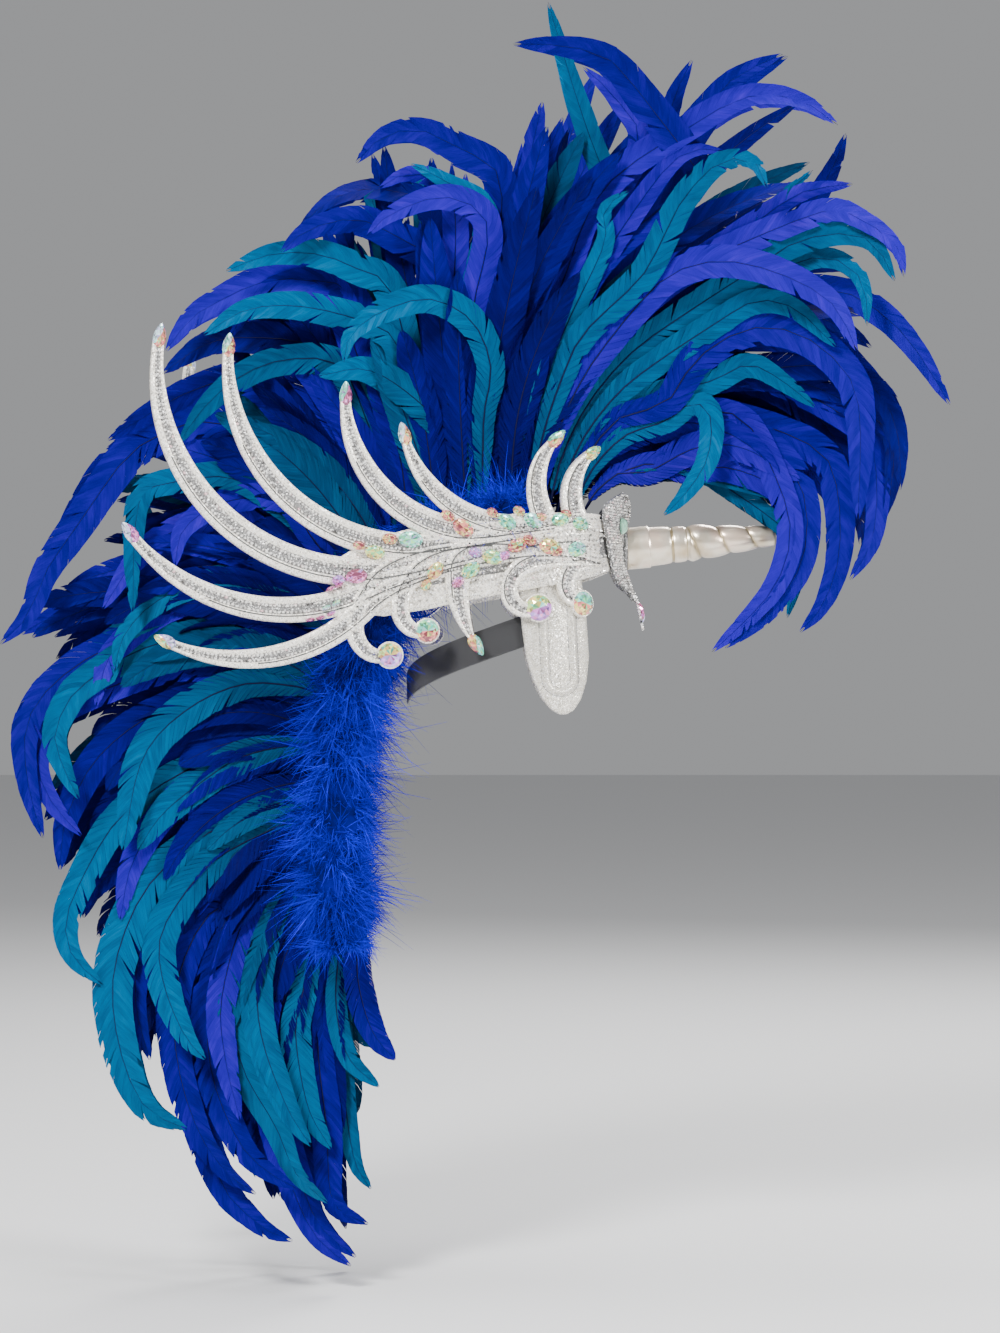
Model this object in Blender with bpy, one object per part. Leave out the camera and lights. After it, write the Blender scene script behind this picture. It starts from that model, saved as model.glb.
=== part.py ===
"""Showgirl feather headdress: foam wings, stones, horn, elastic strap, feather crest and marabou boa.

Metres. +X is the wearer's front, +Y the wearer's left, +Z up.
The origin is the middle of the head opening, level with the temples.
"""
import cmath
import math

import bmesh
import bpy
import numpy as np
from mathutils import Vector

for old in list(bpy.data.objects):
    bpy.data.objects.remove(old, do_unlink=True)

# Gap between neighbours, between curved layers that lie on each other,
# and between the flat-sided crown band and the curved tabs
CLEARANCE = 0.0003
LAYER_CLEARANCE = 0.0011
BAND_GAP = 0.0015

# Head opening
HEAD_HALF_WIDTH = 0.084
CROWN_HEIGHT = 0.060
STRAP_BACK = 0.119

# Crown band
BAND_THICKNESS = 0.003
BAND_FRONT = 0.034
BAND_BACK = 0.004
BAND_DROP = 0.022
ARCH_POWER = 0.8
ARCH_TURNS = (0, 0, 14, 28, 42, 56, 70, 80, 90)

# Temple tabs
TAB_THICKNESS = 0.003
TAB_TOP = 0.066
TAB_BOTTOM = 0.066
TAB_HALF_WIDTH = 0.029
TAB_CENTER = 0.006
TAB_LEAN = 0.013
RIDGE_HEIGHT = 0.0014
RIDGE_WIDTH = 0.0045
RIDGE_HALF_SPAN = 0.012
RIDGE_TOP = 0.010
RIDGE_LEAN = 0.005

# Elastic strap
STRAP_WIDTH = 0.026
STRAP_THICKNESS = 0.0014
STRAP_START = -0.008
STRAP_STRAIGHT = 0.020
STRAP_END_HEIGHT = 0.010
STRAP_BACK_DROP = 0.045

# Wings
WING_BACK = 0.362
WING_TOP = 0.272
WING_BODY_WIDTH = 0.070
WING_FOAM = 0.004
WING_CROWN = 0.0016
WING_STEP = 0.0004

# Forehead plate and horn
PLATE_NOSE = 0.064
PLATE_THICKNESS = 0.003
PLATE_HALF_WIDTH = 0.054
PLATE_TOP = 0.132
PLATE_BOTTOM = 0.034
PLATE_LEAN = 0.010
LEAN_REACH = 0.5
HORN_HEIGHT = 0.082
HORN_LENGTH = 0.134
HORN_BASE = 0.038
HORN_TILT = 5.0
SEAT_RISE = 0.002
SEAT_MARGIN = 0.0015
SEAT_DEPTH = 0.0018

# Stones
SPIKE_STONE_LENGTH = 0.021
SPIKE_STONE_WIDTH = 0.012
STONE_HEIGHT = 0.005
TABLE_SHARE = 0.56
PLATE_STONE_LENGTH = 0.015
PLATE_STONE_WIDTH = 0.010
PLATE_STONE_SIDE = 0.025
PLATE_STONE_LEVEL = 0.101
PLATE_STONE_GAP = 0.0009
BALL_MARGIN = 0.001
DROP_LENGTH = 0.032
DROP_WIDTH = 0.012
DROP_HANG = 0.0144
DROP_LEVEL = 0.06
FIELD_PLATE = 0.0010
FIELD_SINK = 0.0005
FIELD_WIDTH = 0.058

# Crest spine and saddle
SPINE_BACK = 0.176
SPINE_DROP = 0.279
SPINE_HEIGHT = 0.006
SPINE_WIDTH = 0.012
SADDLE_WIDTH = 0.022
SADDLE_GAP = 0.0004
SPINE_SIGHT = 0.01

# Feather crest
CREST_REACH = 0.588
CREST_SPLAY = 0.250
SPLAY_POWER = 1.6
FEATHER_WIDTH = 0.040
FEATHER_THICKNESS = 0.0018
PAD_HEIGHT = 0.008
PAD_WIDTH = 0.026
ROOT_DEPTH = 0.75
ROOT_STEP = 0.0046

# Marabou boa
BOA_TOP_RADIUS = 0.033
BOA_BACK_RADIUS = 0.036
BOA_SWELL_START = 0.15
BOA_SWELL_SPAN = 0.45
BOA_PINCH = 0.90

# Rear braces
BRACE_DIAMETER = 0.0025
BRACE_SIDE = 0.0030
BRACE_STANDOFF = 0.012
BRACE_GAP = 0.0006
BRACE_SIDES = 5

# Teardrop outline: shares of its length and half width, and how far its point is drawn out
DROP_ROUND = 0.42
DROP_POINT = 0.16
DROP_BELLY = 1.06
DROP_NARROW = 0.5
# Length over which a stone's direction is read from the curved surface
SIGHT = 0.002

# Plan of the side surface.
# Columns: x as a share of PLATE_NOSE in front and of WING_BACK behind,
# half width as a share of HEAD_HALF_WIDTH.
SIDE_PLAN = (
    (1.00, 0.000),
    (0.97, 0.214),
    (0.89, 0.405),
    (0.77, 0.595),
    (0.55, 0.786),
    (0.16, 0.952),
    (-0.05, 1.000),
    (-0.27, 1.070),
    (-0.53, 1.240),
    (-0.80, 1.470),
    (-1.00, 1.690),
    (-1.08, 1.780),
)

# Temple tab.
# Columns: level from top 0 to bottom 1, half width as a share of TAB_HALF_WIDTH.
TAB_ROWS = (
    (0.00, 0.92),
    (0.30, 1.00),
    (0.62, 0.95),
    (0.78, 0.80),
    (0.90, 0.58),
    (0.97, 0.34),
    (1.00, 0.14),
)

# Level of the ridge's round end
RIDGE_LEVEL = 0.76
# Shares of the tab's half width at which it bends, back to front
TAB_BENDS = (-1.0, -0.3, 0.25, 0.65, 1.0)

# Wing body.
# Columns: share along the body from front to back, width as a share of WING_BODY_WIDTH.
BODY_ENDS = ((0.152, 0.305), (-0.505, 0.156))
BODY_BEND = 12.0
BODY_ROWS = (
    (0.00, 0.62),
    (0.025, 0.68),
    (0.06, 0.76),
    (0.10, 0.83),
    (0.15, 0.90),
    (0.22, 0.95),
    (0.32, 0.99),
    (0.50, 1.02),
    (0.68, 1.05),
    (0.84, 1.02),
    (1.00, 0.70),
)

# Wing spikes.
# Columns: root x, root z, tip x, tip z, bend in degrees, width.
# x is a share of WING_BACK, z of WING_TOP, width of WING_BODY_WIDTH.
SPIKES = (
    (-0.426, 0.213, -0.912, 0.950, -100.0, 0.36),
    (-0.359, 0.298, -0.750, 0.925, -88.0, 0.33),
    (-0.213, 0.348, -0.473, 0.777, -80.0, 0.33),
    (-0.080, 0.362, -0.332, 0.650, -70.0, 0.28),
    (-0.426, 0.149, -0.978, 0.330, -78.0, 0.33),
    (-0.426, 0.100, -0.896, -0.010, -72.0, 0.30),
    (0.010, 0.375, 0.027, 0.640, -72.0, 0.26),
    (0.080, 0.375, 0.107, 0.600, -75.0, 0.25),
)
# Columns: share along the spike, width share, crown share.
SPIKE_ROWS = (
    (0.00, 1.00, 0.0),
    (0.15, 1.00, 0.0),
    (0.30, 0.97, 1.0),
    (0.47, 0.90, 1.0),
    (0.64, 0.78, 1.0),
    (0.80, 0.60, 0.8),
    (0.92, 0.43, 0.1),
    (1.00, 0.38, 0.0),
)

# Wing scrolls.
# Columns: root x, root z, tip x, tip z, bend, tightening of the curl, width, ball diameter.
# x is a share of WING_BACK, z of WING_TOP, width and diameter of WING_BODY_WIDTH.
SCROLLS = (
    (-0.405, 0.177, -0.367, -0.052, 150.0, 1.8, 0.23, 0.33),
    (-0.302, 0.213, -0.277, 0.026, 150.0, 1.8, 0.23, 0.31),
    (-0.202, 0.227, -0.160, -0.015, 40.0, 1.0, 0.30, 0.0),
    (-0.036, 0.240, -0.008, 0.100, 185.0, 1.3, 0.23, 0.35),
    (0.068, 0.235, 0.088, 0.115, 120.0, 1.3, 0.21, 0.33),
)
# Columns: share along the scroll, width share, crown share.
SCROLL_ROWS = (
    (0.00, 1.20, 0.0),
    (0.16, 1.05, 0.0),
    (0.38, 1.00, 0.7),
    (0.60, 0.96, 0.7),
    (0.80, 0.84, 0.4),
    (1.00, 0.60, 0.0),
)
DROP_SCROLL_TAPER = 0.75
BALL_SIDES = 10

# Main stones of each wing's pave field.
# Columns: x as a share of WING_BACK, z of WING_TOP, diameter of STONE_HEIGHT.
FIELD_STONES = (
    (0.080, 0.372, 2.7),
    (0.072, 0.290, 3.0),
    (0.035, 0.384, 2.7),
    (0.014, 0.296, 3.2),
    (-0.022, 0.380, 2.8),
    (-0.060, 0.300, 2.8),
    (-0.084, 0.376, 2.8),
    (-0.118, 0.262, 3.0),
    (-0.190, 0.356, 3.2),
    (-0.172, 0.220, 2.9),
    (-0.258, 0.218, 2.8),
    (-0.318, 0.318, 3.4),
    (-0.404, 0.276, 2.8),
    (-0.448, 0.200, 3.0),
)
FIELD_ENDS = ((0.106, 0.315), (-0.478, 0.180))
# Columns: share along the field, width share.
FIELD_ROWS = (
    (0.00, 0.76),
    (0.05, 0.88),
    (0.10, 0.96),
    (0.17, 1.00),
    (0.26, 1.00),
    (0.44, 1.00),
    (0.72, 1.00),
    (1.00, 0.80),
)

# Forehead plate.
# Columns: level from bottom 0 to top 1, half width as a share of PLATE_HALF_WIDTH,
# forward lean of the middle as a share of PLATE_LEAN.
PLATE_ROWS = (
    (0.00, 0.06, 1.00),
    (0.07, 0.25, 0.85),
    (0.18, 0.54, 0.45),
    (0.34, 0.80, 0.00),
    (0.56, 0.92, 0.00),
    (0.80, 1.00, 0.40),
    (0.90, 0.86, 0.45),
    (0.97, 0.48, 0.20),
    (1.00, 0.20, 0.00),
)
# Shares of the half width at which the plate bends
PLATE_BENDS = (1.0, 0.88, 0.74, 0.54, 0.28)

# Horn.
# Columns: share along the horn, radius as a share of the base radius.
HORN_ROWS = (
    (0.00, 1.00),
    (0.15, 0.98),
    (0.16, 0.88),
    (0.29, 0.82),
    (0.30, 0.90),
    (0.39, 0.86),
    (0.41, 0.72),
    (0.50, 0.80),
    (0.61, 0.60),
    (0.70, 0.68),
    (0.81, 0.47),
    (0.89, 0.50),
    (0.97, 0.36),
    (1.00, 0.22),
)
HORN_SIDES = 12
# Share of the horn over which its plain cuff turns upward
HORN_CUFF = 0.15

# Crest spine, from the brow to below the nape.
# Columns: x as a share of SPINE_BACK, z as a share of SPINE_DROP.
SPINE_ROWS = (
    (0.335, 0.387),
    (0.100, 0.366),
    (-0.205, 0.348),
    (-0.460, 0.308),
    (-0.665, 0.211),
    (-0.830, 0.050),
    (-0.930, -0.160),
    (-0.985, -0.390),
    (-1.000, -0.610),
    (-0.985, -0.840),
    (-0.950, -1.000),
)

# Lie of the feathers along the spine.
# Columns: share along the spine, tip direction from the origin in degrees,
# tip distance as a share of CREST_REACH, bend in degrees, tightening of the curl,
# sideways spread as a share of CREST_SPLAY.
CREST_ROWS = (
    (0.035, -2.0, 0.29, -205.0, 0.85, 0.62),
    (0.050, 11.0, 0.47, -180.0, 0.90, 0.70),
    (0.068, 24.0, 0.62, -146.0, 0.95, 0.80),
    (0.085, 32.0, 0.73, -128.0, 1.00, 0.88),
    (0.105, 46.0, 0.79, -100.0, 1.05, 0.95),
    (0.125, 57.0, 0.89, -78.0, 1.10, 1.00),
    (0.150, 68.0, 0.96, -55.0, 1.10, 1.00),
    (0.180, 80.0, 0.96, -33.0, 1.10, 1.00),
    (0.215, 92.0, 0.985, -14.0, 1.10, 1.00),
    (0.260, 107.0, 0.82, 10.0, 1.10, 0.92),
    (0.320, 121.0, 0.74, 29.0, 1.10, 0.78),
    (0.390, 138.0, 0.74, 52.0, 1.10, 0.68),
    (0.470, 158.0, 0.74, 77.0, 1.10, 0.62),
    (0.550, 178.0, 0.81, 86.0, 1.10, 0.62),
    (0.640, 197.0, 0.82, 82.0, 1.10, 0.68),
    (0.730, 213.0, 0.85, 76.0, 1.10, 0.78),
    (0.820, 229.0, 0.93, 62.0, 1.10, 0.85),
    (0.910, 243.0, 0.97, 48.0, 1.10, 0.85),
    (1.000, 254.0, 0.99, 30.0, 1.10, 0.80),
)
FAN_BOUNDS = (0.035, 0.105, 0.175, 0.260, 0.380, 0.520, 0.670, 0.830, 1.000)
STATIONS_PER_FAN = 3
# Columns: layer number from right to left, feathers in each fan,
# shift of the roots in spacings, length share.
LAYERS = (
    (-2, 2, 0.00, 0.88),
    (-1, 3, -0.20, 0.97),
    (0, 3, 0.20, 1.00),
    (1, 2, -0.18, 0.97),
    (2, 2, 0.20, 0.88),
)
# Columns: share along the feather, width share, thickness share.
FEATHER_ROWS = (
    (0.00, 0.10, 1.00),
    (0.14, 0.26, 1.00),
    (0.34, 0.84, 0.90),
    (0.58, 1.00, 0.80),
    (0.79, 0.90, 0.70),
    (0.93, 0.55, 0.60),
    (1.00, 0.10, 0.50),
)

# Boa sections.
# Columns: start and end as shares of the spine.
BOA_SECTIONS = (
    (0.105, 0.385),
    (0.387, 0.680),
    (0.682, 0.995),
)
BOA_POINTS = 10
BOA_RINGS = 9
BOA_LOCK = 0.16

# Rear brace, from the wing to the spine.
# Columns: x as a share of SPINE_BACK, y as a share of HEAD_HALF_WIDTH, z as a share of CROWN_HEIGHT.
BRACE_ROWS = (
    (-0.41, 0.70, 0.77),
    (-0.48, 0.36, 0.57),
    (-0.56, 0.12, 0.37),
    (-0.67, 0.036, 0.33),
)
BRACE_WING = (-0.38, 0.87)
BRACE_FAN = 5


def material(name, color, roughness, metallic):
    """A Principled material of one colour."""
    made = bpy.data.materials.new(name)
    made.use_nodes = True
    shader = made.node_tree.nodes["Principled BSDF"]
    shader.inputs["Base Color"].default_value = (*color, 1.0)
    shader.inputs["Roughness"].default_value = roughness
    shader.inputs["Metallic"].default_value = metallic
    return made


def place(name, mesh, surface, smooth=False):
    """Turn a bmesh into a named object with its faces pointing out."""
    bmesh.ops.recalc_face_normals(mesh, faces=mesh.faces)
    data = bpy.data.meshes.new(name)
    mesh.to_mesh(data)
    mesh.free()
    data.materials.append(surface)
    if smooth:
        data.shade_smooth()
        data.set_sharp_from_angle(angle=math.radians(40))
    made = bpy.data.objects.new(name, data)
    bpy.context.scene.collection.objects.link(made)
    return made


def loft(name, rings, surface, smooth=False):
    """A closed body through rings of equal length, capped at both ends."""
    mesh = bmesh.new()
    rows = [[mesh.verts.new(point) for point in ring] for ring in rings]
    for first, second in zip(rows, rows[1:]):
        for here in range(len(first)):
            after = (here + 1) % len(first)
            mesh.faces.new((first[here], first[after], second[after], second[here]))
    mesh.faces.new(rows[0][::-1])
    mesh.faces.new(rows[-1])
    return place(name, mesh, surface, smooth)


def fuse(base, others):
    """Join the others to the base as one body."""
    for other in others:
        other.hide_render = True
        other.display_type = "WIRE"
        joined = base.modifiers.new("Fuse", "BOOLEAN")
        joined.operation = "UNION"
        joined.solver = "EXACT"
        joined.object = other
    return base


def smooth_path(points, per_span=12):
    """A smooth curve through points given as rows of numbers."""
    rows = np.array(points, dtype=float)
    rows = np.vstack([2 * rows[0] - rows[1], rows, 2 * rows[-1] - rows[-2]])
    made = []
    for span in range(1, len(rows) - 2):
        before, first, second, after = rows[span - 1:span + 3]
        for t in np.linspace(0, 1, per_span, endpoint=False):
            made.append(0.5 * (2 * first + (second - before) * t
                               + (2 * before - 5 * first + 4 * second - after) * t ** 2
                               + (3 * first - before - 3 * second + after) * t ** 3))
    made.append(rows[-2])
    return np.array(made)


def sweep(root, tip, bend, tighten=1.0):
    """A plane curve from root to tip that turns by bend degrees, as complex points and headings."""
    steps = np.linspace(0, 1, 81)
    heading = math.radians(bend) * steps ** tighten
    move = np.exp(1j * heading)
    run = np.concatenate([[0], np.cumsum((move[1:] + move[:-1]) / 2)])
    factor = (tip - root) / run[-1]
    return root + run * factor, heading + cmath.phase(factor)


def sample(values, share):
    """The value at a share of an evenly spaced list."""
    return np.interp(share, np.linspace(0, 1, len(values)), values)


# Side surface: one curve in plan that the tabs, wings and plate all follow
def plan_points():
    rows = []
    for x_share, width_share in SIDE_PLAN:
        reach = PLATE_NOSE if x_share > 0 else WING_BACK
        rows.append((x_share * reach, width_share * HEAD_HALF_WIDTH))
    return smooth_path(rows)


PLAN = plan_points()
PLAN_SLOPE = np.gradient(PLAN, axis=0)
PLAN_NORMAL = np.stack([-PLAN_SLOPE[:, 1], PLAN_SLOPE[:, 0]], axis=1)
PLAN_NORMAL /= -np.linalg.norm(PLAN_NORMAL, axis=1)[:, None]
# The curve leaves the nose along +Y, so its outward normal there is +X
TAB_OUTER = TAB_THICKNESS
WING_INNER = TAB_OUTER + LAYER_CLEARANCE
WING_OUTER = WING_INNER + WING_FOAM
PLATE_INNER = WING_OUTER + LAYER_CLEARANCE
PLATE_OUTER = PLATE_INNER + PLATE_THICKNESS


def on_side(spot, offset, hand):
    """A point on the side surface above a side-view spot x + z*1j, raised by offset."""
    x = spot.real
    order = slice(None, None, -1)
    base_y = np.interp(x, PLAN[order, 0], PLAN[order, 1])
    normal_x = np.interp(x, PLAN[order, 0], PLAN_NORMAL[order, 0])
    normal_y = np.interp(x, PLAN[order, 0], PLAN_NORMAL[order, 1])
    return Vector((x + normal_x * offset, hand * (base_y + normal_y * offset), spot.imag))


def side_normal(spot, hand):
    """The outward direction of the side surface at a side-view spot."""
    return (on_side(spot, SIGHT, hand) - on_side(spot, 0.0, hand)).normalized()


def on_front(y, z, offset, lean):
    """A point on the front of the same surface, at a width y and a level z."""
    across = abs(y)
    base_x = np.interp(across, PLAN[:, 1], PLAN[:, 0])
    normal_x = np.interp(across, PLAN[:, 1], PLAN_NORMAL[:, 0])
    normal_y = np.interp(across, PLAN[:, 1], PLAN_NORMAL[:, 1])
    return Vector((base_x + normal_x * offset + lean, math.copysign(across + normal_y * offset, y), z))


def side_ribbon(name, line, headings, rows, width, inner, outer, crown, hand, surface):
    """A strip on the side surface along a side-view curve, with a raised middle."""
    rings = []
    for share, width_share, crown_share in rows:
        spot = complex(sample(line.real, share), sample(line.imag, share))
        across = 1j * cmath.exp(1j * sample(headings, share)) * width * width_share / 2
        rings.append([
            on_side(spot - across, inner, hand),
            on_side(spot + across, inner, hand),
            on_side(spot + across, outer, hand),
            on_side(spot, outer + crown * crown_share, hand),
            on_side(spot - across, outer, hand),
        ])
    return loft(name, rings, surface)


def stone(name, outline, height, base, up, normal, surface):
    """A cut stone with a flat back, slanted crown facets and a table."""
    side = normal.cross(up).normalized()
    up = side.cross(normal).normalized()
    center = sum(outline) / len(outline)
    rings = []
    for scale, level in ((1.0, 0.0), (TABLE_SHARE, 1.0)):
        ring = []
        for corner in outline:
            spot = center + (corner - center) * scale
            ring.append(base + up * spot.real + side * spot.imag + normal * height * level)
        rings.append(ring)
    return loft(name, rings, surface)


def round_outline(length, width, corners=8):
    """An oval with its long way along the real axis."""
    turns = [2 * math.pi * (number + 0.5) / corners for number in range(corners)]
    return [complex(length / 2 * math.cos(turn), width / 2 * math.sin(turn)) for turn in turns]


def drop_outline(length, width, corners=9):
    """A teardrop with its point along the real axis."""
    made = []
    for number in range(corners):
        turn = 2 * math.pi * number / corners
        pull = (0.5 + 0.5 * math.cos(turn)) ** 2
        made.append(complex(length * (DROP_ROUND * math.cos(turn) + DROP_POINT * pull),
                            width / 2 * math.sin(turn) * (DROP_BELLY - DROP_NARROW * pull)))
    return made


# Materials
SILVER_FOAM = material("silver_glitter_foam", (0.66, 0.67, 0.70), 0.35, 0.75)
DARK_FOAM = material("crown_foam", (0.10, 0.10, 0.12), 0.80, 0.0)
ELASTIC = material("black_elastic", (0.012, 0.012, 0.014), 0.75, 0.0)
PAVE = material("pave_rhinestone", (0.72, 0.74, 0.78), 0.15, 0.60)
AURORA = material("aurora_stone", (0.75, 0.80, 0.72), 0.05, 0.20)
HORN_SILVER = material("horn_silver", (0.80, 0.79, 0.77), 0.18, 0.90)
ROYAL = material("royal_feather", (0.030, 0.020, 0.42), 0.45, 0.0)
TURQUOISE = material("turquoise_feather", (0.0, 0.27, 0.52), 0.45, 0.0)
MARABOU = material("blue_marabou", (0.0, 0.012, 0.68), 0.85, 0.0)
WIRE = material("brace_wire", (0.70, 0.70, 0.72), 0.25, 1.0)

HANDS = (("right", -1), ("left", 1))


def crown_band():
    """Arch over the head whose ends stand inside the temple tabs."""
    rings = []
    turns = [math.radians(turn) for turn in ARCH_TURNS]
    half = []
    for number, turn in enumerate(turns):
        across = math.cos(turn) ** ARCH_POWER
        rise = math.sin(turn) ** ARCH_POWER
        half.append((across, rise, BAND_DROP if number == 0 else 0.0))
    profile = [(across, rise, drop, -1) for across, rise, drop in half]
    profile += [(across, rise, drop, 1) for across, rise, drop in half[-2::-1]]
    for across, rise, drop, hand in profile:
        ring = []
        corners = ((BAND_BACK, 0), (BAND_FRONT, 0), (BAND_FRONT, 1), (BAND_BACK, 1))
        for x, skin in corners:
            inner_y = on_side(complex(x, 0), -BAND_GAP - BAND_THICKNESS, 1).y
            y = (inner_y + BAND_THICKNESS * skin) * across
            z = (CROWN_HEIGHT + BAND_THICKNESS * skin) * rise - drop
            ring.append(Vector((x, hand * y, z)))
        rings.append(ring)
    return loft("crown_band", rings, DARK_FOAM, smooth=True)


def tab_center(level):
    """Middle of the temple tab at a level from top 0 to bottom 1."""
    z = TAB_TOP - (TAB_TOP + TAB_BOTTOM) * level
    return complex(TAB_CENTER + TAB_LEAN * level, z)


def side_tab(side, hand):
    """Rounded tongue at the temple with a raised U ridge."""
    rings = []
    for level, width_share in TAB_ROWS:
        middle = tab_center(level)
        half = TAB_HALF_WIDTH * width_share
        spots = [middle + half * step for step in TAB_BENDS]
        ring = [on_side(spot, 0.0, hand) for spot in spots]
        ring += [on_side(spot, TAB_OUTER, hand) for spot in reversed(spots)]
        rings.append(ring)
    tab = loft("side_tab_" + side, rings, SILVER_FOAM)
    base = tab_center(RIDGE_LEVEL)
    legs = [complex(base.real - RIDGE_HALF_SPAN - RIDGE_LEAN, RIDGE_TOP)]
    for turn in range(180, 361, 30):
        legs.append(base + cmath.rect(RIDGE_HALF_SPAN, math.radians(turn)))
    legs.append(complex(base.real + RIDGE_HALF_SPAN - RIDGE_LEAN, RIDGE_TOP))
    line = np.array(legs)
    headings = np.unwrap(np.angle(np.gradient(line)))
    rows = [(share, 1.0, 1.0) for share in np.linspace(0, 1, len(legs))]
    ridge = side_ribbon("ridge_" + side, line, headings, rows, RIDGE_WIDTH,
                        TAB_OUTER / 2, TAB_OUTER + RIDGE_HEIGHT / 2, RIDGE_HEIGHT / 2,
                        hand, SILVER_FOAM)
    return fuse(tab, [ridge])


def elastic_strap():
    """Flat strap from tab to tab round the back of the head."""
    half_width = on_side(complex(STRAP_START, 0), -LAYER_CLEARANCE - STRAP_THICKNESS / 2, 1).y
    bend_start = STRAP_START - STRAP_STRAIGHT
    half = [(STRAP_START, half_width), (STRAP_START - STRAP_STRAIGHT / 2, half_width)]
    for turn in range(0, 91, 10):
        angle = math.radians(turn)
        half.append((bend_start - (STRAP_BACK + bend_start) * math.sin(angle),
                     half_width * math.cos(angle)))
    plan = [(x, -y) for x, y in half] + half[-2::-1]
    plan = np.array(plan)
    lengths = np.concatenate([[0], np.cumsum(np.linalg.norm(np.diff(plan, axis=0), axis=1))])
    middle = lengths[-1] / 2
    sink = (STRAP_END_HEIGHT + STRAP_BACK_DROP) * (1 - np.abs(lengths - middle) / middle)
    path = [Vector((x, y, STRAP_END_HEIGHT - drop)) for (x, y), drop in zip(plan, sink)]
    rings = []
    for number, spot in enumerate(path):
        ahead = path[min(number + 1, len(path) - 1)]
        behind = path[max(number - 1, 0)]
        travel = (ahead - behind).normalized()
        if number in (0, 1, len(path) - 2, len(path) - 1):
            travel.y = 0.0
        level = Vector((travel.x, travel.y, 0.0)).normalized()
        outward = Vector((level.y, -level.x, 0.0)) * STRAP_THICKNESS / 2
        upward = travel.cross(outward).normalized() * STRAP_WIDTH / 2
        rings.append([spot - outward - upward, spot + outward - upward,
                      spot + outward + upward, spot - outward + upward])
    return loft("elastic_strap", rings, ELASTIC)


def wing_spot(x_share, z_share):
    """A side-view spot from wing shares."""
    return complex(x_share * WING_BACK, z_share * WING_TOP)


def wing(side, hand):
    """Foam wing: body, spikes, scrolls and the scrolls' round ends."""
    line, headings = sweep(wing_spot(*BODY_ENDS[0]), wing_spot(*BODY_ENDS[1]), BODY_BEND)
    body_rows = [(share, width, 0.0) for share, width in BODY_ROWS]
    body = side_ribbon("wing_" + side, line, headings, body_rows, WING_BODY_WIDTH,
                       WING_INNER, WING_OUTER, 0.0, hand, SILVER_FOAM)
    parts = []
    lower = WING_OUTER - WING_STEP
    for number, (root_x, root_z, tip_x, tip_z, bend, width) in enumerate(SPIKES):
        line, headings = sweep(wing_spot(root_x, root_z), wing_spot(tip_x, tip_z), bend)
        step = WING_STEP * (1 + number % 3) / 3
        parts.append(side_ribbon("spike_part", line, headings, SPIKE_ROWS, width * WING_BODY_WIDTH,
                                 WING_INNER + step, lower - step / 2, WING_CROWN, hand, SILVER_FOAM))
    for number, (root_x, root_z, tip_x, tip_z, bend, tighten, width, ball) in enumerate(SCROLLS):
        line, headings = sweep(wing_spot(root_x, root_z), wing_spot(tip_x, tip_z), bend, tighten)
        rows = SCROLL_ROWS
        if not ball:
            rows = [(share, size * (1 - DROP_SCROLL_TAPER * share ** 2), crown)
                    for share, size, crown in SCROLL_ROWS]
        step = WING_STEP * (1.5 + number % 2) / 3
        parts.append(side_ribbon("scroll_part", line, headings, rows, width * WING_BODY_WIDTH,
                                 WING_INNER + step, lower - step / 2, WING_CROWN, hand, SILVER_FOAM))
        if ball:
            parts.append(ball_end(wing_spot(tip_x, tip_z), ball * WING_BODY_WIDTH / 2, hand))
    return fuse(body, parts)


def ball_end(spot, radius, hand):
    """Round end of a scroll."""
    normal = side_normal(spot, hand)
    flat = Vector((-normal.y, normal.x, 0.0)).normalized()
    rings = []
    for offset in (WING_INNER + WING_STEP, WING_OUTER):
        middle = on_side(spot, offset, hand)
        ring = []
        for turn in np.linspace(0, 2 * math.pi, BALL_SIDES, endpoint=False):
            ring.append(middle + flat * radius * math.cos(turn)
                        + Vector((0, 0, 1)) * radius * math.sin(turn))
        rings.append(ring)
    return loft("ball_part", rings, SILVER_FOAM)


def seat_on_side(name, spot, heading, outline, offset, hand, surface):
    """A stone on the side surface, its long way along a side-view heading."""
    normal = side_normal(spot, hand)
    ahead = on_side(spot + cmath.rect(SIGHT, heading), offset, hand)
    base = on_side(spot, offset, hand)
    return stone(name, outline, STONE_HEIGHT, base, ahead - base, normal, surface)


def wing_stones(side, hand):
    """Teardrops on the spike tips and stones on the scroll ends."""
    for number, (root_x, root_z, tip_x, tip_z, bend, width) in enumerate(SPIKES, 1):
        line, headings = sweep(wing_spot(root_x, root_z), wing_spot(tip_x, tip_z), bend)
        spot = wing_spot(tip_x, tip_z)
        seat_on_side("spike_stone_%s_%d" % (side, number), spot, headings[-1],
                     drop_outline(SPIKE_STONE_LENGTH, SPIKE_STONE_WIDTH),
                     WING_OUTER + CLEARANCE, hand, AURORA)
    for number, row in enumerate(SCROLLS, 1):
        root_x, root_z, tip_x, tip_z, bend, tighten, width, ball = row
        line, headings = sweep(wing_spot(root_x, root_z), wing_spot(tip_x, tip_z), bend, tighten)
        outline = drop_outline(SPIKE_STONE_LENGTH, SPIKE_STONE_WIDTH)
        if ball:
            size = ball * WING_BODY_WIDTH - 2 * BALL_MARGIN
            outline = round_outline(size, size, 10)
        seat_on_side("scroll_stone_%s_%d" % (side, number), wing_spot(tip_x, tip_z), headings[-1],
                     outline, WING_OUTER + CLEARANCE, hand, AURORA)


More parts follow.
